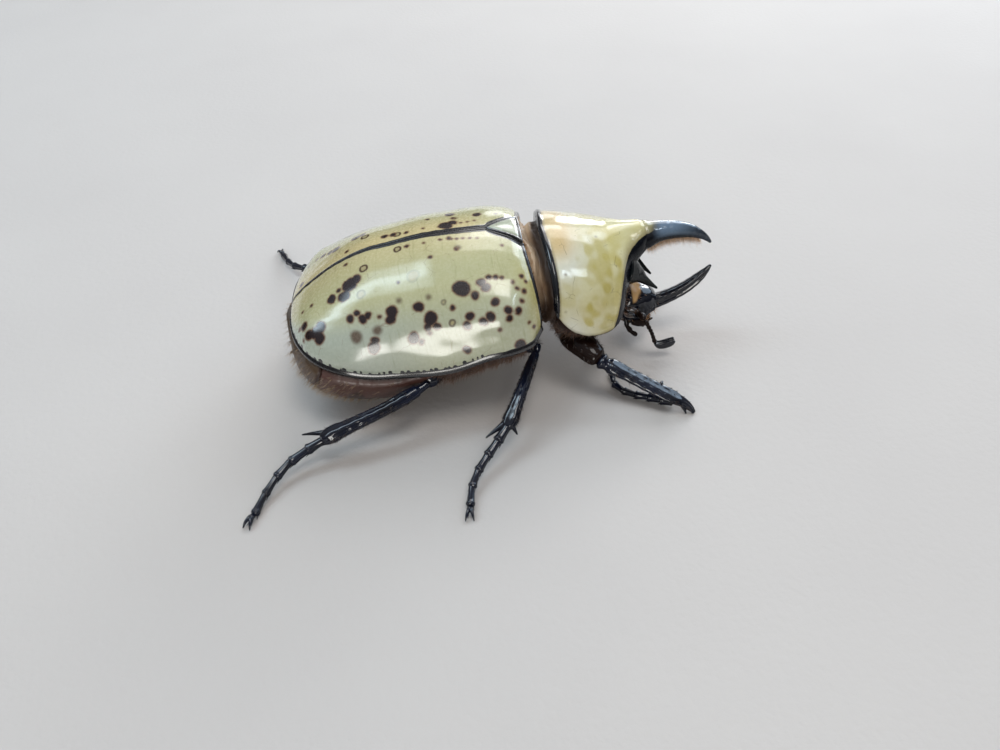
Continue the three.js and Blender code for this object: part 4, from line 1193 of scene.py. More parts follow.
# Head: a smooth crown with a bare tan patch over rough cheeks, and a ridge over each eye.
headShape = {
    "stations": [
        (10.6, 0, 6.8, 2.0, 1.7), (10.9, 0, 6.7, 2.2, 1.8), (11.7, 0, 6.3, 2.85, 2.25),
        (12.8, 0, 5.6, 3.0, 2.25), (14.0, 0, 5.4, 2.65, 2.25), (15.0, 0, 5.35, 2.15, 1.9),
        (15.8, 0, 5.3, 1.5, 1.35), (16.5, 0, 5.3, 0.85, 0.75)],
    "browRidge": 0.28, "clypeus": 0.16, "mouthGap": 0.22,
}
eye = {
    "centre": (12.4, -2.95, 5.9), "radius": 0.85, "facet": 0.006, "rows": 60, "around": 80,
    "brow": [(11.5, -2.5, 6.7, 0.2, 0.16), (12.1, -3.3, 6.35, 0.3, 0.15), (12.9, -3.72, 5.75, 0.28, 0.13),
             (13.5, -3.2, 5.35, 0.3, 0.16), (13.9, -2.5, 5.2, 0.3, 0.2)],
}


def makeHead():
    def relief(share, angle, walked):
        over = np.sin(angle)
        brows = hump(angle, 0.55, 0.22) + hump(angle, math.pi - 0.55, 0.22)
        browRidge = headShape["browRidge"] * brows * hump(share, 0.42, 0.2) * (over > 0)
        clypeus = headShape["clypeus"] * hump(share, 0.93, 0.05) * hump(np.abs(np.cos(angle)), 0.75, 0.3)
        mouthGap = -headShape["mouthGap"] * hump(over, -0.25, 0.12) * smoothStep(share, 0.45, 0.7)
        return browRidge + clypeus + mouthGap

    rings = limbRings(headShape["stations"], count=110, around=120, caps=(0.3, 0.8), boxiness=2.2,
                      relief=relief)
    normals = ringNormals(rings)
    rough = 0.06 * np.abs(ripples(rings, 0.75, 101)) + 0.03 * ripples(rings, 0.34, 102)
    rough = rough + 0.015 * ripples(rings, 0.18, 103)
    rough = rough * (1 - 0.9 * smoothStep(normals[..., 2], -0.1, 0.35))     # the crown is smooth
    rings = raised(rings, normals, rough)
    x, z = rings[..., 0], rings[..., 2]
    ragged = 0.15 * ripples(rings, 0.8, 104)
    bare = smoothStep(z - 0.3 * x, 3.15, 3.45) * smoothStep(x, 12.5, 12.8)
    bare = bare * fallOff(x - ragged, 13.9, 14.1)
    addPiece("head_capsule", loft(rings, {"bareShare": bare}), headMaterial, ["head"])
    return rings, normals


headGrid = makeHead()


def makeEye(name, side):
    polar = np.linspace(0.02, math.pi - 0.02, eye["rows"])[:, None]
    turn = roundAngles(eye["around"])
    facets = eye["facet"] * np.cos(polar * 34) * np.cos(turn * 26 * np.maximum(np.sin(polar), 0.3))
    radius = eye["radius"] * (1 + 0.04 * np.cos(2 * turn) * np.sin(polar)) + facets
    unitBall = pointGrid(np.sin(polar) * np.cos(turn), np.cos(polar), np.sin(polar) * np.sin(turn))
    rings = mirrored(eye["centre"], side) + unitBall * radius[..., None] * np.array([1.05, 0.92, 0.95])
    addPiece(f"eye_{name}_facets", loft(rings), eyeMaterial, [f"eye_{name}"])
    brow = limb(mirrored(eye["brow"], side), count=40, around=20, caps=(1, 1), boxiness=2.6)
    addPiece(f"eye_brow_{name}", brow, headMaterial)


for name, side in sides.items():
    makeEye(name, side)

# The curved head horn, with a groove along each flank.
headHorn = {
    "stations": [
        (13.8, 0, 4.75, 1.1, 1.2), (14.1, 0, 4.65, 1.0, 1.2), (15.2, 0, 4.7, 0.86, 1.12),
        (16.4, 0, 4.95, 0.78, 0.98), (18.2, 0, 5.6, 0.68, 0.86), (20.0, 0, 6.6, 0.6, 0.76),
        (21.3, 0, 7.7, 0.5, 0.62),
        (22.25, 0, 8.8, 0.34, 0.4), (22.8, 0, 9.62, 0.14, 0.16)],
    "groove": 0.19, "edge": 0.08,
}


def headHornRelief(share, angle, walked):
    flank = hump(np.abs(np.cos(angle)), 1, 0.06)
    edge = hump(np.abs(np.cos(angle)), 0.72, 0.12)
    along = smoothStep(share, 0.06, 0.2) * fallOff(share, 0.8, 0.97)
    wave = 0.01 * np.sin(walked * 6 + 3 * np.sin(angle))
    return along * (headHorn["edge"] * edge - headHorn["groove"] * flank) + wave


part = limb(headHorn["stations"], count=130, around=56, caps=(0.1, 1), relief=headHornRelief)
addPiece("head_horn_shell", part, hornMaterial, ["head_horn"])

chin = [(11.4, 0, 4.1, 1.0, 0.5), (12.6, 0, 3.2, 1.5, 0.6), (13.7, 0, 2.75, 1.2, 0.5),
        (14.4, 0, 2.55, 0.6, 0.4)]
part = limb(chin, count=50, around=48, caps=(0.8, 0.8), boxiness=2.4,
            relief=lambda share, angle, walked: 0.03 * np.sin(walked * 9 + 2 * np.sin(3 * angle)))
addPiece("mentum_plate", part, brownMaterial, ["mentum"])

mouth = {
    "mandible": [(12.9, -1.9, 3.75, 0.6, 0.5), (13.4, -1.95, 3.5, 0.66, 0.52), (14.2, -1.8, 3.15, 0.66, 0.46),
                 (15.0, -1.3, 3.0, 0.45, 0.36), (15.5, -0.8, 3.2, 0.16, 0.16)],
    "teeth": [((14.9, -1.5, 3.1), (15.75, -1.5, 3.35)), ((14.4, -2.1, 3.2), (15.1, -2.4, 3.3))],
    "palp": [(12.0, -2.5, 4.3), (12.15, -2.8, 3.5), (12.7, -2.87, 2.65), (13.5, -2.8, 1.9)],
    "innerPalp": [(13.6, -0.8, 2.5), (14.3, -1.0, 2.1), (14.9, -1.05, 1.8)],
}


def jointed(points, sizes, count=22):
    # one swollen segment for each pair of neighbouring points; sizes are its neck and its belly
    parts = []
    for first, last, (neck, belly) in zip(points[:-1], points[1:], sizes):
        first = first - 0.35 * (last - first)     # each neck sits inside the joint before it
        swelling = ((0, neck), (0.35, 0.6 * neck + 0.4 * belly), (0.75, belly), (1, 0.8 * belly))
        stations = [[*(first + (last - first) * share), size, size] for share, size in swelling]
        upward = (0, 0, 1) if abs(unit(last - first)[2]) < 0.85 else (1, 0, 0)
        parts.append(limb(stations, count=count, around=18, caps=(0.8, 0.9), up=upward))
    return joined(parts)


for name, side in sides.items():
    jaw = [limb(mirrored(mouth["mandible"], side), count=50, around=30, caps=(0.5, 1), boxiness=2.3)]
    jaw += [spike(*mirrored(ends, side), rootSize=0.3, tipSize=0.1) for ends in mouth["teeth"]]
    addPiece(f"mandible_{name}_shell", joined(jaw), brownMaterial, [f"mandible_{name}"])
    palps = [jointed(mirrored(mouth["palp"], side), [(0.2, 0.32), (0.2, 0.34), (0.2, 0.3)]),
             jointed(mirrored(mouth["innerPalp"], side), [(0.14, 0.22), (0.14, 0.2)])]
    addPiece(f"palp_{name}_shell", joined(palps), brownMaterial, [f"palp_{name}"])

# Antennae: a long first segment, small beads after it, and a club of three leaves.
antenna = {
    "scape": [(12.85, -2.9, 5.65, 0.3, 0.3), (13.1, -3.4, 5.9, 0.3, 0.3), (13.5, -4.3, 6.1, 0.42, 0.42),
              (13.75, -4.7, 5.9, 0.36, 0.36)],
    "beads": [(13.85, -4.8, 5.65), (14.1, -4.95, 5.1), (14.35, -5.0, 4.6), (14.6, -5.0, 4.1),
              (14.8, -5.0, 3.55), (15.0, -5.0, 2.95), (15.2, -5.0, 2.35)],
    "beadSizes": [(0.2, 0.28)] * 2 + [(0.17, 0.26)] * 3 + [(0.17, 0.3)],
    "club": [(15.1, -5.0, 2.3), (15.8, -5.0, 1.85), (16.6, -5.0, 1.9), (17.3, -5.0, 2.2), (17.65, -5.0, 2.5)],
    "leafSizes": (0.15, 0.38, 0.45, 0.36, 0.13), "leafGap": 0.33,
}


def clubLeaf(side, offset):
    stations = []
    for (x, y, z), size in zip(antenna["club"], antenna["leafSizes"]):
        stations.append((x, y + offset, z + 0.1 * abs(offset), 0.15 if size > 0.2 else 0.1, size))
    return limb(mirrored(stations, side), count=44, around=26, caps=(0.6, 1), boxiness=2.3)


for name, side in sides.items():
    stalk = [limb(mirrored(antenna["scape"], side), count=40, around=22, caps=(0.6, 0.8)),
             jointed(mirrored(antenna["beads"], side), antenna["beadSizes"], count=16)]
    addPiece(f"antenna_{name}_shell", joined(stalk), brownMaterial, [f"antenna_{name}"])
    leaves = joined([clubLeaf(side, step * antenna["leafGap"]) for step in (-1, 0, 1)])
    addPiece(f"antenna_club_{name}_leaves", leaves, hornMaterial, [f"antenna_club_{name}"])
print("head made")


# Legs, given for the right side from the body out: x, y, z, half width, half height. On the left the
# whole leg swings (radians) and reaches a little further.
legs = {
    "fore": {
        "swing": 0.03, "reach": 1, "bristle": 0.2,
        "coxa": [(4.9, -0.6, 4.9, 1, 1), (4.6, -2.6, 4.8, 1.7, 1.5), (4.2, -4.5, 5.3, 1.2, 1.2)],
        "femur": [(4.05, -5.2, 5.7, 1, 1), (4.6, -6.9, 6.3, 1.7, 1.3), (5.8, -9, 6.1, 1.55, 1.2),
                  (6.6, -10.05, 5.75, 1.32, 1.12), (7.05, -10.6, 5.5, 0.98, 0.86)],
        "tibia": [(6.8, -10.35, 5.6, 0.95, 0.85), (7.2, -10.62, 5.42, 1.1, 0.92),
                  (7.62, -10.86, 5.2, 0.84, 0.68), (8.05, -11.05, 5, 1, 0.76),
                  (9.9, -11.85, 4.15, 0.95, 0.66), (13.2, -13.35, 2.6, 1, 0.62),
                  (15, -14.2, 1.85, 0.98, 0.55), (16.3, -14.7, 1.1, 0.6, 0.45),
                  (17, -15.1, 0.55, 0.34, 0.34), (17.35, -15.45, 0.14, 0.14, 0.14)],
        "spines": [((15.9, -14.5, 1.2), (16.4, -15.4, 0.1)), ((13.6, -13.2, 2.7), (14.1, -12.5, 3)),
                   ((11.4, -12.3, 3.6), (11.8, -11.75, 3.85))],
        "tarsus": [(15.1, -13.9, 0.75), (13.6, -13, 0.6), (12.4, -12.35, 0.55), (11, -11.7, 0.5),
                   (9.9, -10.85, 0.48), (9.25, -9.6, 0.45)],
        "claws": [(9.15, -9.25, 0.45), (8.9, -7.6, 0.12), (9.6, -7.5, 0.12)],
        "teeth": (11, 0.2),     # how many pairs of low teeth the shin has, and their size
        "thigh": brownMaterial,
    },
    "mid": {
        "swing": -0.06, "reach": 1, "bristle": 0.5,
        "coxa": [(-4.9, -0.7, 3.6, 1, 1), (-4.9, -2.4, 3.4, 1.5, 1.3), (-4.6, -4.2, 3.9, 1.1, 1.1)],
        "femur": [(-4.3, -4.8, 4.2, 0.9, 0.9), (-2.9, -5.8, 5.1, 1.5, 1.2), (-1.2, -6.8, 6, 1.4, 1.1),
                  (-0.1, -7.3, 6.5, 0.85, 0.8)],
        "tibia": [(0.1, -7.7, 6.45, 0.6, 0.58), (0, -8.4, 6.3, 0.44, 0.42), (-0.7, -9.8, 5.95, 0.56, 0.52),
                  (-1.8, -12.1, 5.4, 0.66, 0.57), (-3.35, -15.2, 4.4, 0.76, 0.63),
                  (-4.25, -16.8, 3.6, 0.88, 0.69), (-4.75, -17.6, 3.25, 0.6, 0.52)],
        "spines": [((-4.8, -16.9, 3.4), (-7.1, -17.95, 2.6)), ((-4.2, -16.9, 3.4), (-3.6, -18.2, 2.8))],
        "tarsus": [(-5.05, -17.85, 3.05), (-6.1, -18.95, 2.55), (-7.15, -20.05, 2.05), (-8.45, -21.7, 1.45),
                   (-9.25, -23.5, 0.95), (-9.5, -25.2, 0.6)],
        "claws": [(-9.55, -25.5, 0.5), (-9.3, -27, 0.12), (-10.2, -26.9, 0.12)],
        "teeth": (6, 0.15),
        "thigh": legMaterial,
    },
    "hind": {
        "swing": 0.02, "reach": 1.11, "bristle": 0.5,
        "coxa": [(-11.9, -0.8, 3.5, 1.2, 0.9), (-12, -3, 3.4, 1.6, 1.1), (-12.2, -5.2, 3.8, 1.2, 1)],
        "femur": [(-12.3, -5.9, 4, 1, 0.9), (-12.4, -7.8, 4.8, 1.7, 1.1), (-12.4, -9.8, 5.6, 1.6, 1.05),
                  (-12.5, -11.3, 6.1, 0.95, 0.85)],
        "tibia": [(-12.8, -11.8, 6.15, 0.62, 0.6), (-13.3, -12.3, 6.05, 0.44, 0.44),
                  (-14, -12.65, 5.9, 0.62, 0.6), (-18.2, -14.35, 4.95, 0.74, 0.68),
                  (-22, -15.4, 4.1, 0.84, 0.76), (-24.2, -16, 3.55, 0.98, 0.82),
                  (-25.1, -16.35, 3.2, 0.62, 0.55)],
        "spines": [((-24.2, -15.5, 3.6), (-27.4, -14.7, 2.9)), ((-24.4, -16.4, 3.3), (-26.3, -16.2, 1.9))],
        "tarsus": [(-25.35, -16.35, 3.05), (-26.9, -16.8, 2.5), (-28.25, -17.35, 2.1), (-29.5, -18.5, 1.6),
                   (-30.75, -19.95, 1.15), (-31.5, -21.5, 0.8), (-32.15, -23.05, 0.52)],
        "claws": [(-32.3, -23.3, 0.48), (-32.55, -24.9, 0.12), (-33.3, -24.5, 0.12)],
        "teeth": (6, 0.15),
        "thigh": legMaterial,
    },
}
legDetail = {
    "crest": 0.07,            # height of the keel along a thigh
    "joints": [(0.5, 0.6), (0.46, 0.54), (0.42, 0.5), (0.38, 0.46), (0.36, 0.46)],   # neck and flare
    "ridges": 0.04,           # height of the lengthwise ridges of a tibia
    "clawArch": 0.4,
    "hold": 0.3,              # how far the last joint of a foot runs in between the claws
    "rooted": 0.45,           # how far a foot runs into the shin
    "kneeReach": 0.6,         # and how far a thigh does
    "ground": 0.004,          # the lowest any foot reaches
}
fine = {"around": 8, "count": 8}     # rings of the smallest spines


def femurRelief(share, angle, walked):
    crest = legDetail["crest"] * hump(np.abs(np.cos(angle)), 1, 0.1) * np.sin(math.pi * share)
    wrinkles = 0.012 * np.sin(walked * 7 + 3 * np.cos(angle)) * np.sin(4 * angle)
    return crest + wrinkles


def tibiaRelief(share, angle, walked):
    body = smoothStep(share, 0.1, 0.2)
    ridges = legDetail["ridges"] * np.cos(6 * angle) * body
    knobs = 0.012 * np.sin(walked * 4.5 + 2 * np.sin(3 * angle)) * body
    collarRing = -0.06 * hump(share, 0.1, 0.02) + 0.04 * hump(share, 0.13, 0.012)
    return ridges + knobs + collarRing


def serrate(stations, count, size):
    # small low teeth along the upper edge of a tibia, leaning to its far end
    rng = np.random.default_rng(111)
    path = throughPoints(stations, 60)[0]
    along = unit(np.gradient(path[:, :3], axis=0))
    across = unit(np.cross(along, np.array([0, 0, 1.0])))
    over = np.cross(across, along)
    teeth = []
    for place in np.linspace(14, 50, count):
        i = int(place)
        for edge in (-1, 1):
            root = path[i, :3] + across[i] * edge * path[i, 3] * 0.82 + over[i] * path[i, 4] * 0.35
            tip = root + across[i] * edge * size * 0.8 + over[i] * size * 0.5
            tip = tip + along[i] * size * rng.uniform(0.6, 1.2)
            teeth.append(spike(root, tip, rootSize=size * 0.55, tipSize=0.05, **fine))
    return teeth


def jointRelief(share, angle, walked):
    return 0.04 * hump(share, 0.84, 0.06) + 0.02 * np.cos(5 * angle) * share


def tarsusParts(points, bristle):
    # five joints, each ending in two short bristles
    path, walked = throughPoints(points, 200)

    def at(share):
        return np.array([np.interp(share * walked[-1], walked, path[:, k]) for k in range(3)])

    parts = []
    joints = legDetail["joints"]
    last = len(joints) - 1
    for i, (neck, flare) in enumerate(joints):
        start, end = at(i / len(joints)), at((i + 1) / len(joints) + (0.012 if i < last else 0))
        if i == last:
            end = end + unit(end - start) * legDetail["hold"]
        flaring = ((-0.1, neck), (0.2, neck * 0.85 + flare * 0.1), (0.6, neck * 0.4 + flare * 0.58),
                   (0.86, flare), (0.97, flare * 0.88))
        stations = [[*(start + (end - start) * share), size, size] for share, size in flaring]
        parts.append(limb(stations, count=34, around=26, caps=(0.5, 0.7), relief=jointRelief))
        along = unit(end - start)
        sideways = unit(np.cross(along, [0, 0, 1.0]))
        for turn in (-1, 1):
            root = start + (end - start) * 0.86 + sideways * turn * flare * 0.6 - [0, 0, flare * 0.6]
            tip = root + along * bristle + sideways * turn * 0.1 - [0, 0, 0.05]
            tip[2] = max(tip[2], 0.1)
            parts.append(spike(root, tip, rootSize=0.08, tipSize=0.03, **fine))
    return parts


def grounded(part):
    part["points"][:, 2] = np.maximum(part["points"][:, 2], legDetail["ground"])
    return part


def clawParts(root, tips):
    # two arched claws, and two bristles between them
    parts = []
    for tip in tips:
        middle = (root + tip) / 2 + [0, 0, legDetail["clawArch"]]
        near = (root + middle) / 2 + [0, 0, 0.12]
        far = (middle + tip) / 2 + [0, 0, 0.12]
        stations = [[*root, 0.26, 0.27], [*near, 0.24, 0.26], [*middle, 0.19, 0.22], [*far, 0.13, 0.16],
                    [*tip, 0.05, 0.07]]
        parts.append(limb(stations, count=44, around=22, caps=(0.5, 1)))
    ahead = unit((tips[0] + tips[1]) / 2 - root)
    for turn in (-0.12, 0.12):
        start = root + ahead * 0.2 + [turn, 0, -0.05]
        tip = start + ahead * 0.9 + [turn, 0, -0.1]
        parts.append(spike(start, tip, rootSize=0.07, tipSize=0.03, **fine))
    return parts


legStations = {}


def makeLeg(pair, leg, name, side):
    hipX, hipY = leg["coxa"][2][:2]
    angle, reach = (leg["swing"], leg["reach"]) if name == "left" else (0, 1)

    def turned(values):
        made = np.array(values, float)
        x, y = made[..., 0] - hipX, made[..., 1] - hipY
        made[..., 0] = hipX + reach * (x * math.cos(angle) - y * math.sin(angle))
        made[..., 1] = hipY + reach * (x * math.sin(angle) + y * math.cos(angle))
        return mirrored(made, side)

    coxa, femur, tibia = mirrored(leg["coxa"], side), turned(leg["femur"]), turned(leg["tibia"])
    tarsus, claws = turned(leg["tarsus"]), turned(leg["claws"])
    femur[-1, :3] += (tibia[1, :3] - femur[-1, :3]) * legDetail["kneeReach"]
    node = f"{pair}_leg_{name}"
    addPiece(f"{node}_hip", limb(coxa, count=50, around=44, caps=(0.7, 0.8), relief=femurRelief),
             brownMaterial, [f"{node}_coxa"])
    addPiece(f"{node}_thigh", limb(femur, count=70, around=52, caps=(0.9, 0.7), relief=femurRelief),
             leg["thigh"], [f"{node}_femur"])
    shin = [limb(tibia, count=120, around=60, caps=(0.9, 0.9), boxiness=2.1, relief=tibiaRelief)]
    for root, tip in turned(leg["spines"]):
        shin.append(spike(root, tip, rootSize=0.44, tipSize=0.08, bend=(0, 0, 0.08), around=18, count=24))
    shin += serrate(tibia, *leg["teeth"])
    addPiece(f"{node}_shin", grounded(joined(shin)), legMaterial, [f"{node}_tibia"])
    if pair != "fore":
        tarsus[0] += (tibia[-2, :3] - tarsus[0]) * legDetail["rooted"]
    foot = tarsusParts(tarsus, leg["bristle"])
    if pair == "fore":     # this foot is folded back, so a short root leads into it from the shin
        ankle = tibia[6, :3] + 0.35 * (tibia[7, :3] - tibia[6, :3])
        between = (ankle + tarsus[0]) / 2
        foot.append(limb([[*ankle, 0.3, 0.3], [*between, 0.36, 0.36], [*tarsus[0], 0.42, 0.42]],
                         count=16, around=20, caps=(0.6, 0.8)))
    addPiece(f"{node}_foot", grounded(joined(foot)), legMaterial, [f"{node}_tarsus"])
    hooks = grounded(joined(clawParts(claws[0], claws[1:])))
    addPiece(f"{node}_hooks", hooks, legMaterial, [f"{node}_claws"])
    legStations[node] = {"hip": coxa, "thigh": femur, "shin": tibia}


for pair, leg in legs.items():
    for name, side in sides.items():
        makeLeg(pair, leg, name, side)
print("legs made")


# Hair: tufts of a few tapered strands. A strand has three rings of three points and a tip.
hair = {
    "strands": 4,          # strands in a tuft
    "rings": 3, "corners": 3,
    "taper": 0.75,
    "patch": 0.003,        # size of a tuft on the OFBake map
    "buried": 0.03,        # mm that a root lies under its surface
    "tiles": 8,            # tiles along a side of a map that several surfaces share
}


def hairPart(roots, directions, sag, lengths, width, uvs, shades, seed, fan):
    # one root, direction and length per tuft; its strands fan out from almost one point
    rng = np.random.default_rng(seed)
    total = len(roots) * hair["strands"]
    owner = np.repeat(np.arange(len(roots)), hair["strands"])
    direction = unit(directions[owner] + fan * rng.normal(size=(total, 3)))
    root = roots[owner] + rng.normal(size=(total, 3)) * width * 1.5
    length = lengths[owner] * rng.uniform(0.65, 1.1, total)
    sag = sag + 0.12 * rng.normal(size=(total, 3))
    first = unit(np.cross(direction, rng.normal(size=(total, 3))))
    second = np.cross(direction, first)
    rings, corners = hair["rings"], hair["corners"]
    points, places, tips = [], [], []
    for k in range(rings):
        t = k / rings
        centre = root + direction * (length * t)[:, None] + sag * (length * t * t)[:, None]
        for corner in range(corners):
            turn = 2 * math.pi * corner / corners
            offset = first * math.cos(turn) + second * math.sin(turn)
            points.append(centre + offset * (width * (1 - hair["taper"] * t)))
            places.append((t - 0.5, corner / corners - 0.5))
            tips.append(t)
    points.append(root + direction * length[:, None] + sag * length[:, None])
    places.append((0.5, 0.0))
    tips.append(1.0)
    start = (np.arange(total) * len(points))[:, None]
    index = np.arange(rings * corners).reshape(rings, corners)
    after = np.roll(index, -1, 1)
    faces = np.stack([index[:-1], after[:-1], after[1:], index[1:]], -1).reshape(-1, 4)
    top = np.stack([index[-1], after[-1], np.full(corners, rings * corners)], -1)
    quads = np.vstack([start + face for face in faces])
    triangles = np.vstack([start + face for face in ([0, 2, 1], *top)])
    fields = {"tipShare": np.tile(tips, total), "tuftShade": np.repeat(shades[owner], len(points))}
    spots = np.array(places)[None] * hair["patch"] + uvs[owner][:, None]
    return closedPart(np.stack(points, 1).reshape(-1, 3), quads, triangles, fields), spots.reshape(-1, 2)


def rootsOn(grid, normals, count, where, seed):
    # random places on a closed grid, more of them where where(points, u, v) is larger
    rng = np.random.default_rng(seed)
    rows, columns = grid.shape[:2]
    u, v = np.meshgrid(np.linspace(0, 1, rows), np.linspace(0, 1, columns), indexing="ij")
    area = np.linalg.norm(np.cross(np.gradient(grid, axis=0), np.gradient(grid, axis=1)), axis=-1)
    chance = area * where(grid, u, v)
    chance[:, -1] = 0
    chosen = rng.choice(rows * columns, count, p=chance.ravel() / chance.ravel().sum())
    r, c = np.unravel_index(chosen, (rows, columns))
    r2, c2 = np.minimum(r + 1, rows - 1), np.minimum(c + 1, columns - 1)
    s, t = rng.uniform(0, 1, (2, count, 1))
    near = grid[r, c] * (1 - s) + grid[r2, c] * s
    far = grid[r, c2] * (1 - s) + grid[r2, c2] * s
    uvs = np.stack([(c + t[:, 0]) / columns, (r + s[:, 0]) / rows], -1) * 0.96 + 0.02
    return near * (1 - t) + far * t, normals[r, c], uvs


def coatOn(surface, count, where, lean, length, width, seed, lift, sag=(0, 0, -0.15), fan=0.25, tile=None):
    # hair that leans along lean and stands off its surface by lift; sizes in mm
    rng = np.random.default_rng(seed + 1)
    roots, out, uvs = rootsOn(*surface, count, where, seed)
    lengths = rng.uniform(*length, count)
    if tile is not None:
        uvs = (uvs + np.array([tile % hair["tiles"], tile // hair["tiles"]])) / hair["tiles"]
    shades = rng.uniform(0, 1, count)
    directions = unit(np.array(lean) + out * lift)
    return hairPart(roots - out * hair["buried"], directions, sag, lengths, width, uvs, shades, seed, fan)


def addCoat(name, material, pieces):
    # pieces are (part, uvs) pairs, joined into one object with its OFBake map
    whole = joined([part for part, uvs in pieces])
    addPiece(name, whole, material, uvs=np.vstack([uvs for part, uvs in pieces]))


# Each where works on the points (x, y, z) and on the shares of rows and columns, u and v.
def onAbdomen(p, u, v):
    rear = smoothStep(-p[..., 0], 19, 26)
    return (p[..., 2] < 8.6) * (0.06 + 1.2 * rear + 0.3 * fallOff(p[..., 2], 3, 5))


def onPygidium(p, u, v):
    return 0.3 + fallOff(p[..., 2], 4, 8)


def onThorax(p, u, v):
    return (p[..., 2] < 8.2) * (0.3 + smoothStep(np.abs(p[..., 1]), 3, 8))


def onThroat(p, u, v):
    return (p[..., 2] < 8.8) * (0.25 + smoothStep(np.abs(p[..., 1]), 4, 8))


def onNeck(p, u, v):
    return (v > 0.73) * smoothStep(p[..., 0], 9, 10.6) * fallOff(p[..., 0], 11.5, 12.6)


def underHorn(p, u, v):
    return hump(v, 0.75, 0.05) * smoothStep(p[..., 0], 13.6, 15) * fallOff(p[..., 0], 19.6, 21.2)


def onCollar(p, u, v):
    return hump(u, 0.25, 0.12) * (0.3 + (p[..., 2] < 14))


def roundMouth(p, u, v):
    return smoothStep(p[..., 0], 12.4, 14.2) * fallOff(p[..., 2], 3.8, 4.6) + 0.02


def onHip(p, u, v):
    return 0.2 + (p[..., 2] < 5)


def underEdge(p, u, v):
    edges = hump(v, 0.5, 0.08) + hump(v, 0.0, 0.06) + 0.12
    return smoothStep(u, 0.15, 0.3) * fallOff(u, 0.85, 0.95) * edges


# Coats: material, slot, surface, then what coatOn takes.
coats = {
    "abdomen_hair": (paleHair, "belly", hindGrids["abdomen"], {
        "count": 1500, "where": onAbdomen, "lean": (-1.0, 0, -0.15), "length": (0.5, 1.1), "width": 0.014,
        "seed": 201, "lift": 0.5}),
    "pygidium_hair": (paleHair, "belly", hindGrids["pygidium"], {
        "count": 500, "where": onPygidium, "lean": (-0.6, 0, -0.8), "length": (0.7, 1.4), "width": 0.016,
        "seed": 203, "lift": 0.7}),
    "thorax_hair": (brownHair, "belly", hindGrids["thorax_underside"], {
        "count": 1500, "where": onThorax, "lean": (-0.6, 0, -0.8), "length": (0.6, 1.3), "width": 0.02,
        "seed": 205, "lift": 0.45}),
    "prosternum_hair": (brownHair, "belly", throatGrid, {
        "count": 900, "where": onThroat, "lean": (-0.6, 0, -0.8), "length": (0.6, 1.2), "width": 0.02,
        "seed": 207, "lift": 0.45}),
    "neck_fringe": (brownHair, "shield", shieldGrid, {
        "count": 260, "where": onNeck, "lean": (0.8, 0, -0.35), "length": (0.5, 1.0), "width": 0.018,
        "seed": 209, "lift": 0.25}),
    "horn_fringe": (fringeHair, "black_shell", hornGrid, {
        "count": 900, "where": underHorn, "lean": (0.2, 0, -1.0), "length": (0.85, 1.5), "width": 0.013,
        "seed": 211, "lift": 0.3, "sag": (0.2, 0, 0), "fan": 0.14}),
    "collar_hair": (orangeHair, "collar", collarGrid, {
        "count": 600, "where": onCollar, "lean": (-1.0, 0, -0.1), "length": (0.35, 0.7), "width": 0.02,
        "seed": 213, "lift": 0.3}),
    "mouth_brush": (orangeHair, "black_shell", headGrid, {
        "count": 200, "where": roundMouth, "lean": (0.9, 0, -0.8), "length": (0.4, 0.9), "width": 0.02,
        "seed": 215, "lift": 0.4}),
}
legCoats = {     # the same on each leg, leaning to its end
    "thigh": {
        "count": 90, "where": underEdge, "length": (0.4, 0.9), "width": 0.018, "seed": 221, "lift": 0.6},
    "shin": {
        "count": 110, "where": underEdge, "length": (0.3, 0.6), "width": 0.016, "seed": 231, "lift": 0.5},
    "hip": {
        "count": 110, "where": onHip, "length": (0.5, 0.9), "width": 0.02, "seed": 241, "lift": 0.6},
}
for name, (material, slot, surface, look) in coats.items():
    addCoat(name, material, [coatOn(surface, **look)])
for part, look in legCoats.items():
    pieces = []
    for tile, stations in enumerate(legStations.values()):
        path = stations[part]
        rings = limbRings(path, count=60, around=40)
        lean = unit(path[-1, :3] - path[0, :3])
        one = {**look, "seed": look["seed"] + tile}
        pieces.append(coatOn((rings, ringNormals(rings)), lean=lean, tile=tile, **one))
    addCoat(f"{part}_hair", darkHair, pieces)
print("hair made")


# Floor, backdrop colour, lamps and camera.
stage = {
    "floor": (0.61, 0.575, 0.545), "floorDark": (0.56, 0.525, 0.5), "size": 3.0,     # metres along a side
    "zenith": (0.27, 0.275, 0.29), "horizon": (0.055, 0.05, 0.045),
    "skyRise": (0.05, 0.7),     # height of a direction over which the horizon turns into the zenith
    "overhead": 0.4,            # lamps above this height hang level; the others face the origin
}
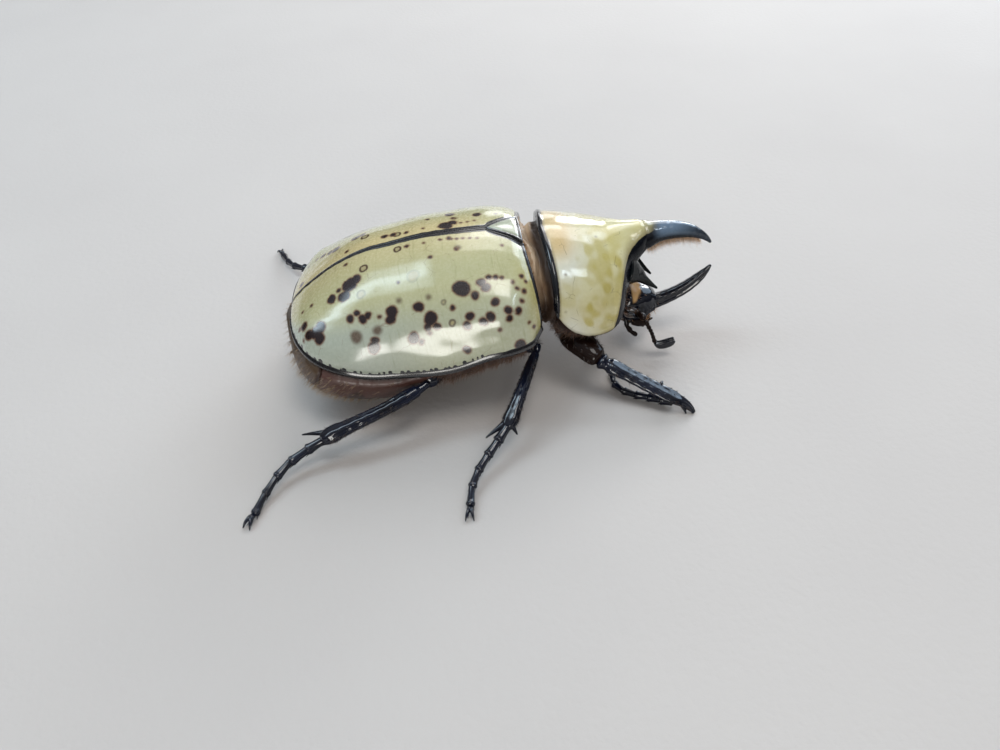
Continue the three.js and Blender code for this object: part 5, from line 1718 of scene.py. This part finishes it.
# Lamps: centre in metres, size along x and across, radiance, colour.
lamps = {
    "rearSky": ((-0.33, 0.105, 0.46), (0.52, 0.24), 1.8, (0.70, 0.87, 1.0)),
    "rearCore": ((-0.33, 0.105, 0.45), (0.46, 0.11), 4.2, (0.70, 0.87, 1.0)),
    "frontSky": ((0.15, 0.31, 0.33), (0.34, 0.20), 2.4, (1.0, 0.97, 0.95)),
    "skylight": ((0.08, -0.09, 0.45), (0.17, 0.16), 6.2, (1.0, 0.98, 0.95)),
    "window": ((0.235, -0.18, 0.45), (0.016, 0.13), 17.0, (0.75, 0.88, 1.0)),
    "crest": ((0.165, 0.42, 0.12), (0.11, 0.14), 8.0, (1.0, 0.99, 0.96)),
    "crestAhead": ((0.075, 0.35, 0.28), (0.11, 0.08), 3.8, (0.97, 0.98, 1.0)),
    "baseGlow": ((0.07, 0.45, 0.08), (0.07, 0.10), 2.2, (0.94, 0.97, 1.0)),
    "headGlow": ((0.30, 0.36, 0.145), (0.12, 0.13), 11.0, (0.95, 0.98, 1.0)),
    "hornSky": ((0.34, 0.28, 0.24), (0.32, 0.28), 2.6, (0.60, 0.79, 1.0)),
    "lowPanel": ((-0.07, -0.42, 0.11), (0.13, 0.15), 8.5, (1.0, 0.98, 0.93)),
}
camera = {     # position and lens in mm, angles in degrees
    "position": (-2.534, -73.516, 64.306), "azimuth": -3.762, "elevation": 43.297, "roll": -3.559,
    "lens": 27.12, "sensor": 36,
}


def makeFloor():
    mesh = bpy.data.meshes.new("floor")
    half = stage["size"] / 2
    corners = [(-half, -half, 0), (half, -half, 0), (half, half, 0), (-half, half, 0)]
    mesh.from_pydata(corners, [], [(0, 1, 2, 3)])
    floor = bpy.data.objects.new("floor", mesh)
    bpy.context.scene.collection.objects.link(floor)
    material, tree, shader = shellShader("paleFloor", {"Roughness": 0.85, "IOR": 1.3})
    feed(tree, shader.inputs["Base Color"], drift(tree, stage, "floor", "floorDark", 30.0, 1.0))
    bump = put(tree, "Bump", {"Height": fineGrain(tree, 0.8), "Distance": 0.05 * mm})[0]
    feed(tree, shader.inputs["Normal"], bump)
    mesh.materials.append(material)


def makeWorld():
    # a sky that is pale overhead and dim along the horizon
    world = bpy.data.worlds.new("softSky")
    bpy.context.scene.world = world
    world.use_nodes = True
    tree = world.node_tree
    upward = put(tree, "SeparateXYZ", {0: put(tree, "TexCoord")["Generated"]})["Z"]
    share = ranged(tree, upward, *stage["skyRise"], interpolation_type="SMOOTHSTEP")
    sky = blendColour(tree, share, colour(stage["horizon"]), colour(stage["zenith"]))
    feed(tree, tree.nodes["Background"].inputs["Color"], sky)


def makeLamps():
    for name, (centre, (length, breadth), radiance, tint) in lamps.items():
        lamp = bpy.data.lights.new(name, "AREA")
        lamp.shape, lamp.size, lamp.size_y = "RECTANGLE", length, breadth
        lamp.energy, lamp.color = radiance * math.pi * length * breadth, tint
        item = bpy.data.objects.new(name, lamp)
        away = Vector((0, 0, 1)) if centre[2] > stage["overhead"] else Vector(centre).normalized()
        across = away.cross(Vector((1, 0, 0))).normalized()
        turn = Matrix((across.cross(away), across, away)).transposed().to_4x4()
        item.matrix_world = Matrix.Translation(Vector(centre)) @ turn
        bpy.context.scene.collection.objects.link(item)


def makeCamera():
    azimuth, elevation, roll = (math.radians(camera[key]) for key in ("azimuth", "elevation", "roll"))
    back = Vector((math.sin(azimuth) * math.cos(elevation), -math.cos(azimuth) * math.cos(elevation),
                   math.sin(elevation)))
    level = Vector((math.cos(azimuth), math.sin(azimuth), 0))
    upward = back.cross(level)
    right = level * math.cos(roll) + upward * math.sin(roll)
    top = upward * math.cos(roll) - level * math.sin(roll)
    data = bpy.data.cameras.new("camera")
    data.lens, data.sensor_width = camera["lens"], camera["sensor"]
    data.clip_start, data.clip_end = 0.001, 10
    item = bpy.data.objects.new("camera", data)
    turn = Matrix((right, top, back)).transposed().to_4x4()
    item.matrix_world = Matrix.Translation(Vector(camera["position"]) * mm) @ turn
    bpy.context.scene.collection.objects.link(item)
    bpy.context.scene.camera = item


makeFloor()
makeWorld()
makeLamps()
makeCamera()
bpy.context.scene.view_settings.view_transform = "Standard"
print("stage made")
